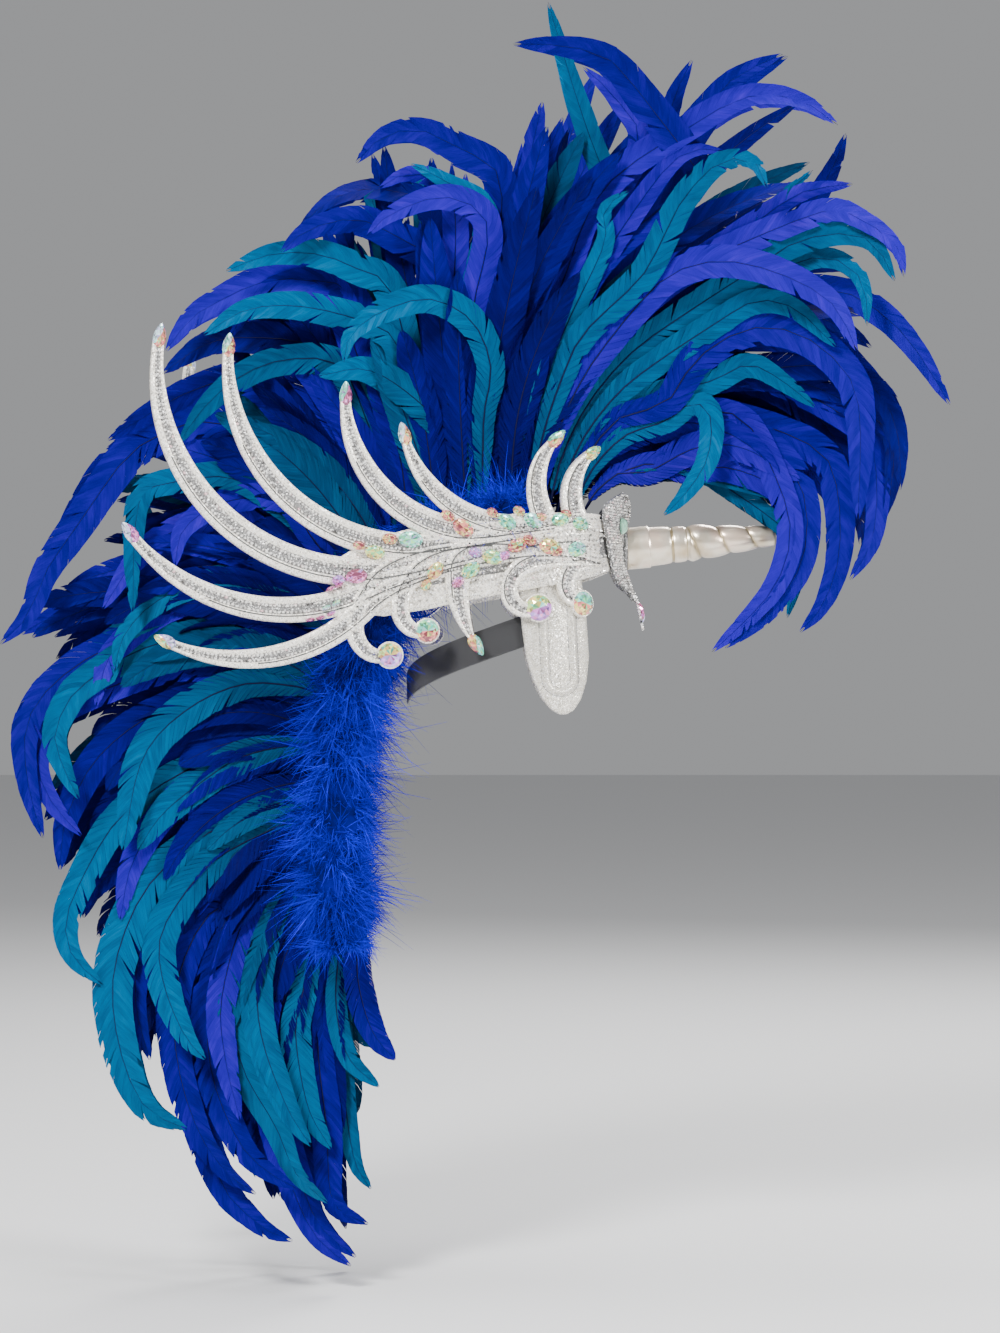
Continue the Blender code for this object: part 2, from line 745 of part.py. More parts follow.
def stone_field(side, hand):
    """Thin pave plate on the wing's body with its main stones."""
    line, headings = sweep(wing_spot(*FIELD_ENDS[0]), wing_spot(*FIELD_ENDS[1]), BODY_BEND)
    rows = [(share, width, 0.0) for share, width in FIELD_ROWS]
    inner = WING_OUTER + LAYER_CLEARANCE
    field = side_ribbon("stone_field_" + side, line, headings, rows, FIELD_WIDTH,
                        inner, inner + FIELD_PLATE, 0.0, hand, PAVE)
    stones = []
    for x_share, z_share, size in FIELD_STONES:
        diameter = size * STONE_HEIGHT
        stones.append(seat_on_side("field_stone", wing_spot(x_share, z_share), 0.0,
                                   round_outline(diameter, diameter), inner + FIELD_PLATE - FIELD_SINK,
                                   hand, AURORA))
    return fuse(field, stones)


def plate_level(level):
    """Height of a level of the forehead plate."""
    return PLATE_BOTTOM + (PLATE_TOP - PLATE_BOTTOM) * level


def plate_lean(z, y):
    """Forward lean of the forehead plate, none at its side edges."""
    rows = np.array(PLATE_ROWS)
    middle = np.interp(z, plate_level(rows[:, 0]), rows[:, 2]) * PLATE_LEAN
    return middle * max(0.0, 1 - (abs(y) / (LEAN_REACH * PLATE_HALF_WIDTH)) ** 2)


def horn_seat_x():
    """Front face of the horn's round seat."""
    return on_front(0.0, HORN_HEIGHT, PLATE_OUTER, plate_lean(HORN_HEIGHT, 0)).x + SEAT_RISE


def forehead_plate():
    """Curved shield across the brow, lapping over the wings' front ends."""
    rings = []
    for level, width_share, lean_share in PLATE_ROWS:
        z = plate_level(level)
        half = PLATE_HALF_WIDTH * width_share
        spread = [-half * bend for bend in PLATE_BENDS] + [0.0] + [half * bend for bend in PLATE_BENDS[::-1]]
        ring = [on_front(y, z, PLATE_OUTER, plate_lean(z, y)) for y in spread]
        ring += [on_front(y, z, PLATE_INNER, plate_lean(z, y)) for y in spread[::-1]]
        rings.append(ring)
    plate = loft("forehead_plate", rings, PAVE)
    seat_face = horn_seat_x()
    radius = HORN_BASE / 2 + SEAT_MARGIN
    back = seat_face - SEAT_RISE - SEAT_DEPTH
    disc = []
    for x, size in ((back, radius), (seat_face, radius)):
        disc.append([Vector((x, size * math.cos(turn), HORN_HEIGHT + size * math.sin(turn)))
                     for turn in np.linspace(0, 2 * math.pi, HORN_SIDES, endpoint=False)])
    rim = loft("seat_part", disc, PAVE)
    return fuse(plate, [rim])


def horn():
    """Spiral horn that stands on the plate's round seat."""
    base = Vector((horn_seat_x() + CLEARANCE, 0.0, HORN_HEIGHT))
    tilt = math.radians(HORN_TILT)
    rings = []
    for share, radius_share in HORN_ROWS:
        lift = tilt * min(1.0, share / HORN_CUFF)
        upward = Vector((-math.sin(lift), 0.0, math.cos(lift)))
        middle = base + Vector((math.cos(tilt), 0.0, math.sin(tilt))) * HORN_LENGTH * share
        radius = HORN_BASE / 2 * radius_share
        rings.append([middle + Vector((0, 1, 0)) * radius * math.cos(turn) + upward * radius * math.sin(turn)
                      for turn in np.linspace(0, 2 * math.pi, HORN_SIDES, endpoint=False)])
    return loft("horn", rings, HORN_SILVER, smooth=True)


def plate_stones():
    """Two oval stones on the shield and the drop at its lower point."""
    for side, hand in HANDS:
        y = hand * PLATE_STONE_SIDE
        lean = plate_lean(PLATE_STONE_LEVEL, y)
        base = on_front(y, PLATE_STONE_LEVEL, PLATE_OUTER + PLATE_STONE_GAP, lean)
        normal = base - on_front(y, PLATE_STONE_LEVEL, PLATE_INNER, lean)
        stone("plate_stone_" + side, round_outline(PLATE_STONE_LENGTH, PLATE_STONE_WIDTH),
              STONE_HEIGHT, base, Vector((0, 0, 1)), normal.normalized(), AURORA)
    top = on_front(0.0, plate_level(DROP_LEVEL), PLATE_OUTER, plate_lean(plate_level(DROP_LEVEL), 0))
    tip = on_front(0.0, PLATE_BOTTOM, PLATE_OUTER, plate_lean(PLATE_BOTTOM, 0))
    down = (tip - top).normalized()
    normal = Vector((0, 1, 0)).cross(down).normalized()
    if normal.x < 0:
        normal = -normal
    base = top + down * DROP_HANG + normal * CLEARANCE
    stone("forehead_drop", drop_outline(DROP_LENGTH, DROP_WIDTH), STONE_HEIGHT, base, down, normal, AURORA)


# Crest spine as points, directions and lengths along it
SPINE = smooth_path([(x * SPINE_BACK, z * SPINE_DROP) for x, z in SPINE_ROWS])
SPINE_RUN = np.concatenate([[0], np.cumsum(np.linalg.norm(np.diff(SPINE, axis=0), axis=1))])
SPINE_LENGTH = SPINE_RUN[-1]


def spine_spot(share):
    """Side-view spot on the spine's middle line."""
    run = share * SPINE_LENGTH
    return complex(np.interp(run, SPINE_RUN, SPINE[:, 0]), np.interp(run, SPINE_RUN, SPINE[:, 1]))


def spine_out(share):
    """Side-view direction away from the head at a share of the spine."""
    travel = spine_spot(min(share + SPINE_SIGHT, 1.0)) - spine_spot(max(share - SPINE_SIGHT, 0.0))
    return travel / abs(travel) * -1j


def bar(name, shares, low, high, half_width, surface):
    """A flat bar along the spine between two heights above its middle line."""
    rings = []
    for share in shares:
        spot = spine_spot(share)
        out = spine_out(share)
        inner = spot + out * low
        outer = spot + out * high
        rings.append([
            Vector((inner.real, -half_width, inner.imag)),
            Vector((inner.real, half_width, inner.imag)),
            Vector((outer.real, half_width, outer.imag)),
            Vector((outer.real, -half_width, outer.imag)),
        ])
    return loft(name, rings, surface)


def fan_stations(number):
    """Shares of the spine at which it bends under a fan, counted from 1."""
    return np.linspace(FAN_BOUNDS[number - 1], FAN_BOUNDS[number], STATIONS_PER_FAN + 1)


def crest_spine():
    """Bar that carries the feathers and the boa."""
    shares = [0.0]
    for number in range(1, len(FAN_BOUNDS)):
        shares.extend(fan_stations(number)[:-1])
    shares.append(FAN_BOUNDS[-1])
    return bar("crest_spine", shares, -SPINE_HEIGHT / 2, SPINE_HEIGHT / 2, SPINE_WIDTH / 2, DARK_FOAM)


def crest_saddle():
    """Block between the crown band and the spine."""
    bottom = CROWN_HEIGHT + BAND_THICKNESS + CLEARANCE
    half = SADDLE_WIDTH / 2
    under = SPINE[:, 1] - SPINE_HEIGHT / 2 - SADDLE_GAP
    rings = []
    for x in np.linspace(BAND_BACK, BAND_FRONT, 4):
        top = np.interp(x, SPINE[::-1, 0], under[::-1])
        rings.append([Vector((x, -half, bottom)), Vector((x, half, bottom)),
                      Vector((x, half, top)), Vector((x, -half, top))])
    return loft("crest_saddle", rings, DARK_FOAM)


def crest_value(share, column):
    """A column of the crest table at a share of the spine."""
    rows = np.array(CREST_ROWS)
    return float(np.interp(share, rows[:, 0], rows[:, column]))


def feather(share, layer, level, length_share):
    """One feather as a long strip with a raised quill line, rooted in the pad.

    Neighbours in a layer stand on two levels, so that their edges pass each other.
    """
    out = spine_out(share)
    root = spine_spot(share) + out * (SPINE_HEIGHT / 2 + CLEARANCE + PAD_HEIGHT * ROOT_DEPTH)
    reach = crest_value(share, 2) * CREST_REACH
    tip = cmath.rect(reach, math.radians(crest_value(share, 1)))
    tip = root + (tip - root) * length_share
    line, headings = sweep(root, tip, crest_value(share, 3), crest_value(share, 4))
    length = float(np.sum(np.abs(np.diff(line))))
    root_y = ROOT_STEP * (layer + level / 4)
    splay = crest_value(share, 5) * CREST_SPLAY * layer / 2
    rings = []
    for along, width_share, thick_share in FEATHER_ROWS:
        spot = complex(sample(line.real, along), sample(line.imag, along))
        across = 1j * cmath.exp(1j * sample(headings, along)) * FEATHER_WIDTH * width_share / 2
        y = root_y + splay * (along * length / CREST_REACH) ** SPLAY_POWER
        thick = FEATHER_THICKNESS * thick_share
        left = spot + across
        right = spot - across
        rings.append([Vector((left.real, y - thick / 2, left.imag)),
                      Vector((right.real, y - thick / 2, right.imag)),
                      Vector((spot.real, y + thick / 2, spot.imag))])
    surface = TURQUOISE if layer % 2 else ROYAL
    return loft("feather_part", rings, surface)


def feather_fan(number):
    """A pad on the spine with its feathers."""
    stations = fan_stations(number)
    start, end = stations[0], stations[-1]
    stations[0] += CLEARANCE / SPINE_LENGTH
    stations[-1] -= CLEARANCE / SPINE_LENGTH
    low = SPINE_HEIGHT / 2 + CLEARANCE
    pad = bar("feather_fan_%d" % number, stations, low, low + PAD_HEIGHT, PAD_WIDTH / 2, ROYAL)
    feathers = []
    for layer, count, shift, length_share in LAYERS:
        for place_number in range(count):
            along = (place_number + 0.5 + shift) / count
            level = 1 if (place_number + number * count) % 2 else -1
            feathers.append(feather(start + (end - start) * along, layer, level, length_share))
    return fuse(pad, feathers)


def boa(name, start, end, hand):
    """A stretch of marabou beside the spine, with its locks as lobes."""
    rings = []
    for number, share in enumerate(np.linspace(start, end, BOA_RINGS)):
        fullness = min(1.0, max(0.0, (share - BOA_SWELL_START) / BOA_SWELL_SPAN))
        radius = BOA_TOP_RADIUS + (BOA_BACK_RADIUS - BOA_TOP_RADIUS) * fullness
        pinch = BOA_PINCH if number in (0, BOA_RINGS - 1) else 1.0
        out = spine_out(share)
        spot = spine_spot(share) + out * (SPINE_HEIGHT / 2 + CLEARANCE + PAD_HEIGHT / 2)
        middle_y = PAD_WIDTH / 2 + CLEARANCE + radius
        ring = []
        for corner in range(BOA_POINTS):
            turn = 2 * math.pi * corner / BOA_POINTS
            lock = 1.0 - BOA_LOCK * ((corner + number) % 2) * (corner > 0)
            size = radius * lock * pinch
            flat = spot + out * size * math.sin(turn)
            ring.append(Vector((flat.real, hand * (middle_y - size * math.cos(turn)), flat.imag)))
        rings.append(ring)
    return loft(name, rings, MARABOU)


def rod(name, points, radius, surface):
    """A round wire through points, cut square at both ends."""
    path = [Vector(row) for row in smooth_path([tuple(point) for point in points], 2)]
    rings = []
    helper = Vector((0, 0, 1))
    for number, spot in enumerate(path):
        travel = path[min(number + 1, len(path) - 1)] - path[max(number - 1, 0)]
        travel.normalize()
        side = travel.cross(helper).normalized()
        upward = side.cross(travel).normalized()
        rings.append([spot + side * radius * math.cos(turn) + upward * radius * math.sin(turn)
                      for turn in np.linspace(0, 2 * math.pi, BRACE_SIDES, endpoint=False)])
    return loft(name, rings, surface, smooth=True)


def rear_brace(side, hand):
    """Wire from the wing's inner face to the spine's underside."""
    radius = BRACE_DIAMETER / 2
    wing_x = BRACE_WING[0] * SPINE_BACK
    start = on_side(complex(wing_x, BRACE_WING[1] * CROWN_HEIGHT), WING_INNER - CLEARANCE, hand)
    points = [start]
    for x_share, y_share, z_share in BRACE_ROWS:
        points.append(Vector((x_share * SPINE_BACK, hand * y_share * HEAD_HALF_WIDTH,
                              z_share * CROWN_HEIGHT)))
    first, second = fan_stations(BRACE_FAN)[:2]
    chord = spine_spot(second) - spine_spot(first)
    out = chord / abs(chord) * -1j
    end = spine_spot(first) + chord / 2 - out * (SPINE_HEIGHT / 2 + BRACE_GAP)
    before = end - out * BRACE_STANDOFF
    points.append(Vector((before.real, hand * BRACE_SIDE, before.imag)))
    points.append(Vector((end.real, hand * BRACE_SIDE, end.imag)))
    return rod("rear_brace_" + side, points, radius, WIRE)


crown_band()
elastic_strap()
forehead_plate()
horn()
plate_stones()
crest_spine()
crest_saddle()
for side_name, side_hand in HANDS:
    side_tab(side_name, side_hand)
    wing(side_name, side_hand)
    wing_stones(side_name, side_hand)
    stone_field(side_name, side_hand)
    rear_brace(side_name, side_hand)
    for section, (section_start, section_end) in enumerate(BOA_SECTIONS, 1):
        boa("boa_%s_%d" % (side_name, section), section_start, section_end, side_hand)
for fan_number in range(1, len(FAN_BOUNDS)):
    feather_fan(fan_number)
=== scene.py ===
"""Showgirl feather headdress: finishes, feathers, marabou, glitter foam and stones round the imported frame.

Metres. +X is the wearer's front, +Y the wearer's left, +Z up.
"""

import cmath
import math
from collections import namedtuple

import bpy
import numpy as np
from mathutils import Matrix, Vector


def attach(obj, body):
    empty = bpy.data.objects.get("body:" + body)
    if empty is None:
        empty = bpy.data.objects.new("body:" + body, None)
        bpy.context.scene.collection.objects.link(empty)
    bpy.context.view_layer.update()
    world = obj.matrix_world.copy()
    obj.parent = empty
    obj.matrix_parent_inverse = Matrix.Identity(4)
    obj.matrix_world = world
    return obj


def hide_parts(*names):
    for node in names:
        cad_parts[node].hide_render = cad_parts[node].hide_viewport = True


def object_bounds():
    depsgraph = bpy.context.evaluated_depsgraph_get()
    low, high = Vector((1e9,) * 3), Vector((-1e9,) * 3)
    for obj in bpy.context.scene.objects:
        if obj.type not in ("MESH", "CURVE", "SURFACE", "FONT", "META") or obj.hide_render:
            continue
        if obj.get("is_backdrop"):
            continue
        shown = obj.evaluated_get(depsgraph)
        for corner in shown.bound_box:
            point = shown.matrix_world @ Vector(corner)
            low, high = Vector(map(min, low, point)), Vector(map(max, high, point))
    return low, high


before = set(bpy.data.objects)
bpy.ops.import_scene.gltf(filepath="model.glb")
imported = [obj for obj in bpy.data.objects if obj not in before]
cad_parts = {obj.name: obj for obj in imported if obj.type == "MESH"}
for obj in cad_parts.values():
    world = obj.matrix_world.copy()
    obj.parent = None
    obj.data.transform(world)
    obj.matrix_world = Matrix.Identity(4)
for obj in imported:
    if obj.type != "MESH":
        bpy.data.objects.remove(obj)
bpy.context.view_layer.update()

# Photo frame and camera
PHOTO_WIDTH = 1000
PHOTO_HEIGHT = 1333
PIXEL = 0.0009
CAMERA_DISTANCE = 3.0
CAMERA_X = -0.036
CAMERA_Z = -0.024
SENSOR = 36.0

# Sizes and tables that the solids were made from
CLEARANCE = 0.0003
HEAD_HALF_WIDTH = 0.084
TAB_THICKNESS = 0.003
TAB_TOP = 0.066
TAB_BOTTOM = 0.066
TAB_HALF_WIDTH = 0.029
TAB_CENTER = 0.006
TAB_LEAN = 0.013
RIDGE_HEIGHT = 0.0026
RIDGE_WIDTH = 0.0070
RIDGE_HALF_SPAN = 0.012
RIDGE_LEAN = 0.005
RIDGE_LEVEL = 0.76
STRAP_WIDTH = 0.026
STRAP_THICKNESS = 0.0014
STRAP_START = -0.008
STRAP_STRAIGHT = 0.020
STRAP_BACK = 0.119
STRAP_END_HEIGHT = 0.010
STRAP_BACK_DROP = 0.045
LAYER_CLEARANCE = 0.0011
WING_BACK = 0.362
WING_TOP = 0.272
WING_BODY_WIDTH = 0.070
WING_FOAM = 0.004
WING_RELIEF = 0.0016
PLATE_NOSE = 0.064
PLATE_THICKNESS = 0.003
PLATE_HALF_WIDTH = 0.054
PLATE_TOP = 0.132
PLATE_BOTTOM = 0.034
PLATE_LEAN = 0.010
LEAN_REACH = 0.5
HORN_HEIGHT = 0.082
HORN_LENGTH = 0.134
HORN_BASE = 0.038
HORN_TILT = 5.0
SEAT_RISE = 0.002
SPIKE_STONE_LENGTH = 0.021
SPIKE_STONE_WIDTH = 0.012
STONE_HEIGHT = 0.005
PLATE_STONE_LENGTH = 0.015
PLATE_STONE_WIDTH = 0.010
PLATE_STONE_SIDE = 0.025
PLATE_STONE_LEVEL = 0.101
DROP_LENGTH = 0.032
DROP_WIDTH = 0.012
DROP_HANG = 0.0144
DROP_LEVEL = 0.06
SPINE_BACK = 0.176
SPINE_DROP = 0.279
SPINE_HEIGHT = 0.006
CREST_REACH = 0.588
CREST_SPLAY = 0.250
SPLAY_POWER = 1.6
FEATHER_WIDTH = 0.034
PAD_HEIGHT = 0.008
PAD_WIDTH = 0.026
ROOT_DEPTH = 0.75
ROOT_STEP = 0.0046
BOA_TOP_RADIUS = 0.033
BOA_BACK_RADIUS = 0.036
BOA_SWELL_START = 0.15
BOA_SWELL_SPAN = 0.45

TAB_OUTER = TAB_THICKNESS
WING_INNER = TAB_OUTER + LAYER_CLEARANCE
WING_OUTER = WING_INNER + WING_FOAM
PLATE_INNER = WING_OUTER + LAYER_CLEARANCE
PLATE_OUTER = PLATE_INNER + PLATE_THICKNESS

# Plan of the side surface.
# Columns: x as a share of PLATE_NOSE in front and of WING_BACK behind,
# half width as a share of HEAD_HALF_WIDTH.
SIDE_PLAN = (
    (1.00, 0.000),
    (0.97, 0.214),
    (0.89, 0.405),
    (0.77, 0.595),
    (0.55, 0.786),
    (0.16, 0.952),
    (-0.05, 1.000),
    (-0.27, 1.070),
    (-0.53, 1.240),
    (-0.80, 1.470),
    (-1.00, 1.690),
    (-1.08, 1.780),
)

# Temple tab.
# Columns: level from top 0 to bottom 1, half width as a share of TAB_HALF_WIDTH.
TAB_ROWS = (
    (0.00, 0.92),
    (0.30, 1.00),
    (0.62, 0.95),
    (0.78, 0.80),
    (0.90, 0.58),
    (0.97, 0.34),
    (1.00, 0.10),
)

# Wing body.
# Columns: share along the body from front to back, width as a share of WING_BODY_WIDTH.
BODY_ENDS = ((0.152, 0.305), (-0.505, 0.156))
BODY_BEND = 12.0
BODY_ROWS = (
    (0.00, 0.62),
    (0.06, 0.76),
    (0.15, 0.88),
    (0.32, 0.97),
    (0.50, 1.00),
    (0.68, 1.03),
    (0.84, 0.96),
    (1.00, 0.60),
)

# Wing spikes.
# Columns: root x, root z, tip x, tip z, bend in degrees, width, height in the front of the body.
# x is a share of WING_BACK, z of WING_TOP, width of WING_BODY_WIDTH.
# The last column is 0 where the strip doesn't run on along the body.
SPIKES = (
    (-0.426, 0.213, -0.912, 0.950, -100.0, 0.36, 0.325),
    (-0.359, 0.298, -0.750, 0.925, -88.0, 0.33, 0.350),
    (-0.213, 0.348, -0.473, 0.777, -80.0, 0.33, 0.372),
    (-0.080, 0.362, -0.332, 0.650, -70.0, 0.28, 0.392),
    (-0.426, 0.149, -0.978, 0.330, -78.0, 0.33, 0.302),
    (-0.426, 0.100, -0.896, -0.010, -72.0, 0.30, 0.282),
    (0.010, 0.375, 0.027, 0.640, -72.0, 0.26, 0.0),
    (0.080, 0.375, 0.107, 0.600, -75.0, 0.25, 0.0),
)
# Columns: share along the spike, width share.
SPIKE_ROWS = (
    (0.00, 1.00),
    (0.15, 1.00),
    (0.30, 0.97),
    (0.47, 0.90),
    (0.64, 0.78),
    (0.80, 0.60),
    (0.92, 0.43),
    (1.00, 0.38),
)

# Wing scrolls.
# Columns: root x, root z, tip x, tip z, bend, tightening of the curl, width, ball diameter,
# height in the front of the body. x is a share of WING_BACK, z of WING_TOP,
# width and diameter of WING_BODY_WIDTH.
SCROLLS = (
    (-0.405, 0.177, -0.367, -0.052, 150.0, 1.8, 0.23, 0.33, 0.290),
    (-0.302, 0.213, -0.277, 0.026, 150.0, 1.8, 0.23, 0.31, 0.275),
    (-0.202, 0.227, -0.160, -0.015, 40.0, 1.0, 0.30, 0.0, 0.262),
    (-0.036, 0.240, -0.008, 0.100, 185.0, 1.3, 0.23, 0.35, 0.250),
    (0.068, 0.235, 0.088, 0.115, 120.0, 1.3, 0.21, 0.33, 0.240),
)
# Columns: share along the scroll, width share.
SCROLL_ROWS = (
    (0.00, 1.15),
    (0.16, 1.05),
    (0.38, 1.00),
    (0.60, 0.96),
    (0.80, 0.84),
    (1.00, 0.62),
)
DROP_SCROLL_TAPER = 0.75
BALL_MARGIN = 0.001

# Main stones of each wing's pave field.
# Columns: x as a share of WING_BACK, z of WING_TOP, diameter of STONE_HEIGHT, first tint, second tint.
FIELD_STONES = (
    (0.080, 0.372, 2.7, 0.30, 0.05),
    (0.072, 0.290, 3.0, 0.32, 0.03),
    (0.035, 0.384, 2.7, 0.28, 0.08),
    (0.014, 0.296, 3.2, 0.10, 0.02),
    (-0.022, 0.380, 2.8, 0.36, 0.14),
    (-0.060, 0.300, 2.8, 0.04, 0.90),
    (-0.084, 0.376, 2.8, 0.30, 0.06),
    (-0.118, 0.262, 3.0, 0.22, 0.78),
    (-0.190, 0.356, 3.2, 0.02, 0.06),
    (-0.172, 0.220, 2.9, 0.24, 0.94),
    (-0.258, 0.218, 2.8, 0.12, 0.20),
    (-0.318, 0.318, 3.4, 0.34, 0.08),
    (-0.404, 0.276, 2.8, 0.18, 0.06),
    (-0.448, 0.200, 3.0, 0.96, 0.82),
)

# Forehead plate.
# Columns: level from bottom 0 to top 1, half width as a share of PLATE_HALF_WIDTH,
# forward lean of the middle as a share of PLATE_LEAN.
PLATE_ROWS = (
    (0.00, 0.06, 1.00),
    (0.07, 0.25, 0.85),
    (0.18, 0.54, 0.45),
    (0.34, 0.80, 0.00),
    (0.56, 0.92, 0.00),
    (0.80, 1.00, 0.40),
    (0.90, 0.86, 0.45),
    (0.97, 0.48, 0.20),
    (1.00, 0.20, 0.00),
)

# Crest spine, from the brow to below the nape.
# Columns: x as a share of SPINE_BACK, z as a share of SPINE_DROP.
SPINE_ROWS = (
    (0.335, 0.387),
    (0.100, 0.366),
    (-0.205, 0.348),
    (-0.460, 0.308),
    (-0.665, 0.211),
    (-0.830, 0.050),
    (-0.930, -0.160),
    (-0.985, -0.390),
    (-1.000, -0.610),
    (-0.985, -0.840),
    (-0.950, -1.000),
)

# Lie of the feathers along the spine.
# Columns: share along the spine, tip direction from the origin in degrees,
# tip distance as a share of CREST_REACH, bend in degrees, tightening of the curl,
# sideways spread as a share of CREST_SPLAY.
CREST_ROWS = (
    (0.035, -2.0, 0.29, -205.0, 0.85, 0.62),
    (0.050, 11.0, 0.47, -180.0, 0.90, 0.70),
    (0.068, 24.0, 0.62, -146.0, 0.95, 0.80),
    (0.085, 32.0, 0.73, -128.0, 1.00, 0.88),
    (0.105, 46.0, 0.79, -100.0, 1.05, 0.95),
    (0.125, 57.0, 0.89, -78.0, 1.10, 1.00),
    (0.150, 68.0, 0.96, -55.0, 1.10, 1.00),
    (0.180, 80.0, 0.96, -33.0, 1.10, 1.00),
    (0.215, 92.0, 0.985, -14.0, 1.10, 1.00),
    (0.260, 107.0, 0.82, 10.0, 1.10, 0.92),
    (0.320, 121.0, 0.74, 29.0, 1.10, 0.78),
    (0.390, 138.0, 0.74, 52.0, 1.10, 0.68),
    (0.470, 158.0, 0.74, 77.0, 1.10, 0.62),
    (0.550, 178.0, 0.81, 86.0, 1.10, 0.62),
    (0.640, 197.0, 0.82, 82.0, 1.10, 0.68),
    (0.730, 213.0, 0.85, 76.0, 1.10, 0.78),
    (0.820, 229.0, 0.93, 62.0, 1.10, 0.85),
    (0.910, 243.0, 0.97, 48.0, 1.10, 0.85),
    (1.000, 254.0, 0.99, 30.0, 1.10, 0.80),
)
FAN_BOUNDS = (0.035, 0.105, 0.175, 0.260, 0.380, 0.520, 0.670, 0.830, 1.000)
BOA_SECTIONS = (
    (0.105, 0.385),
    (0.387, 0.680),
    (0.682, 0.995),
)

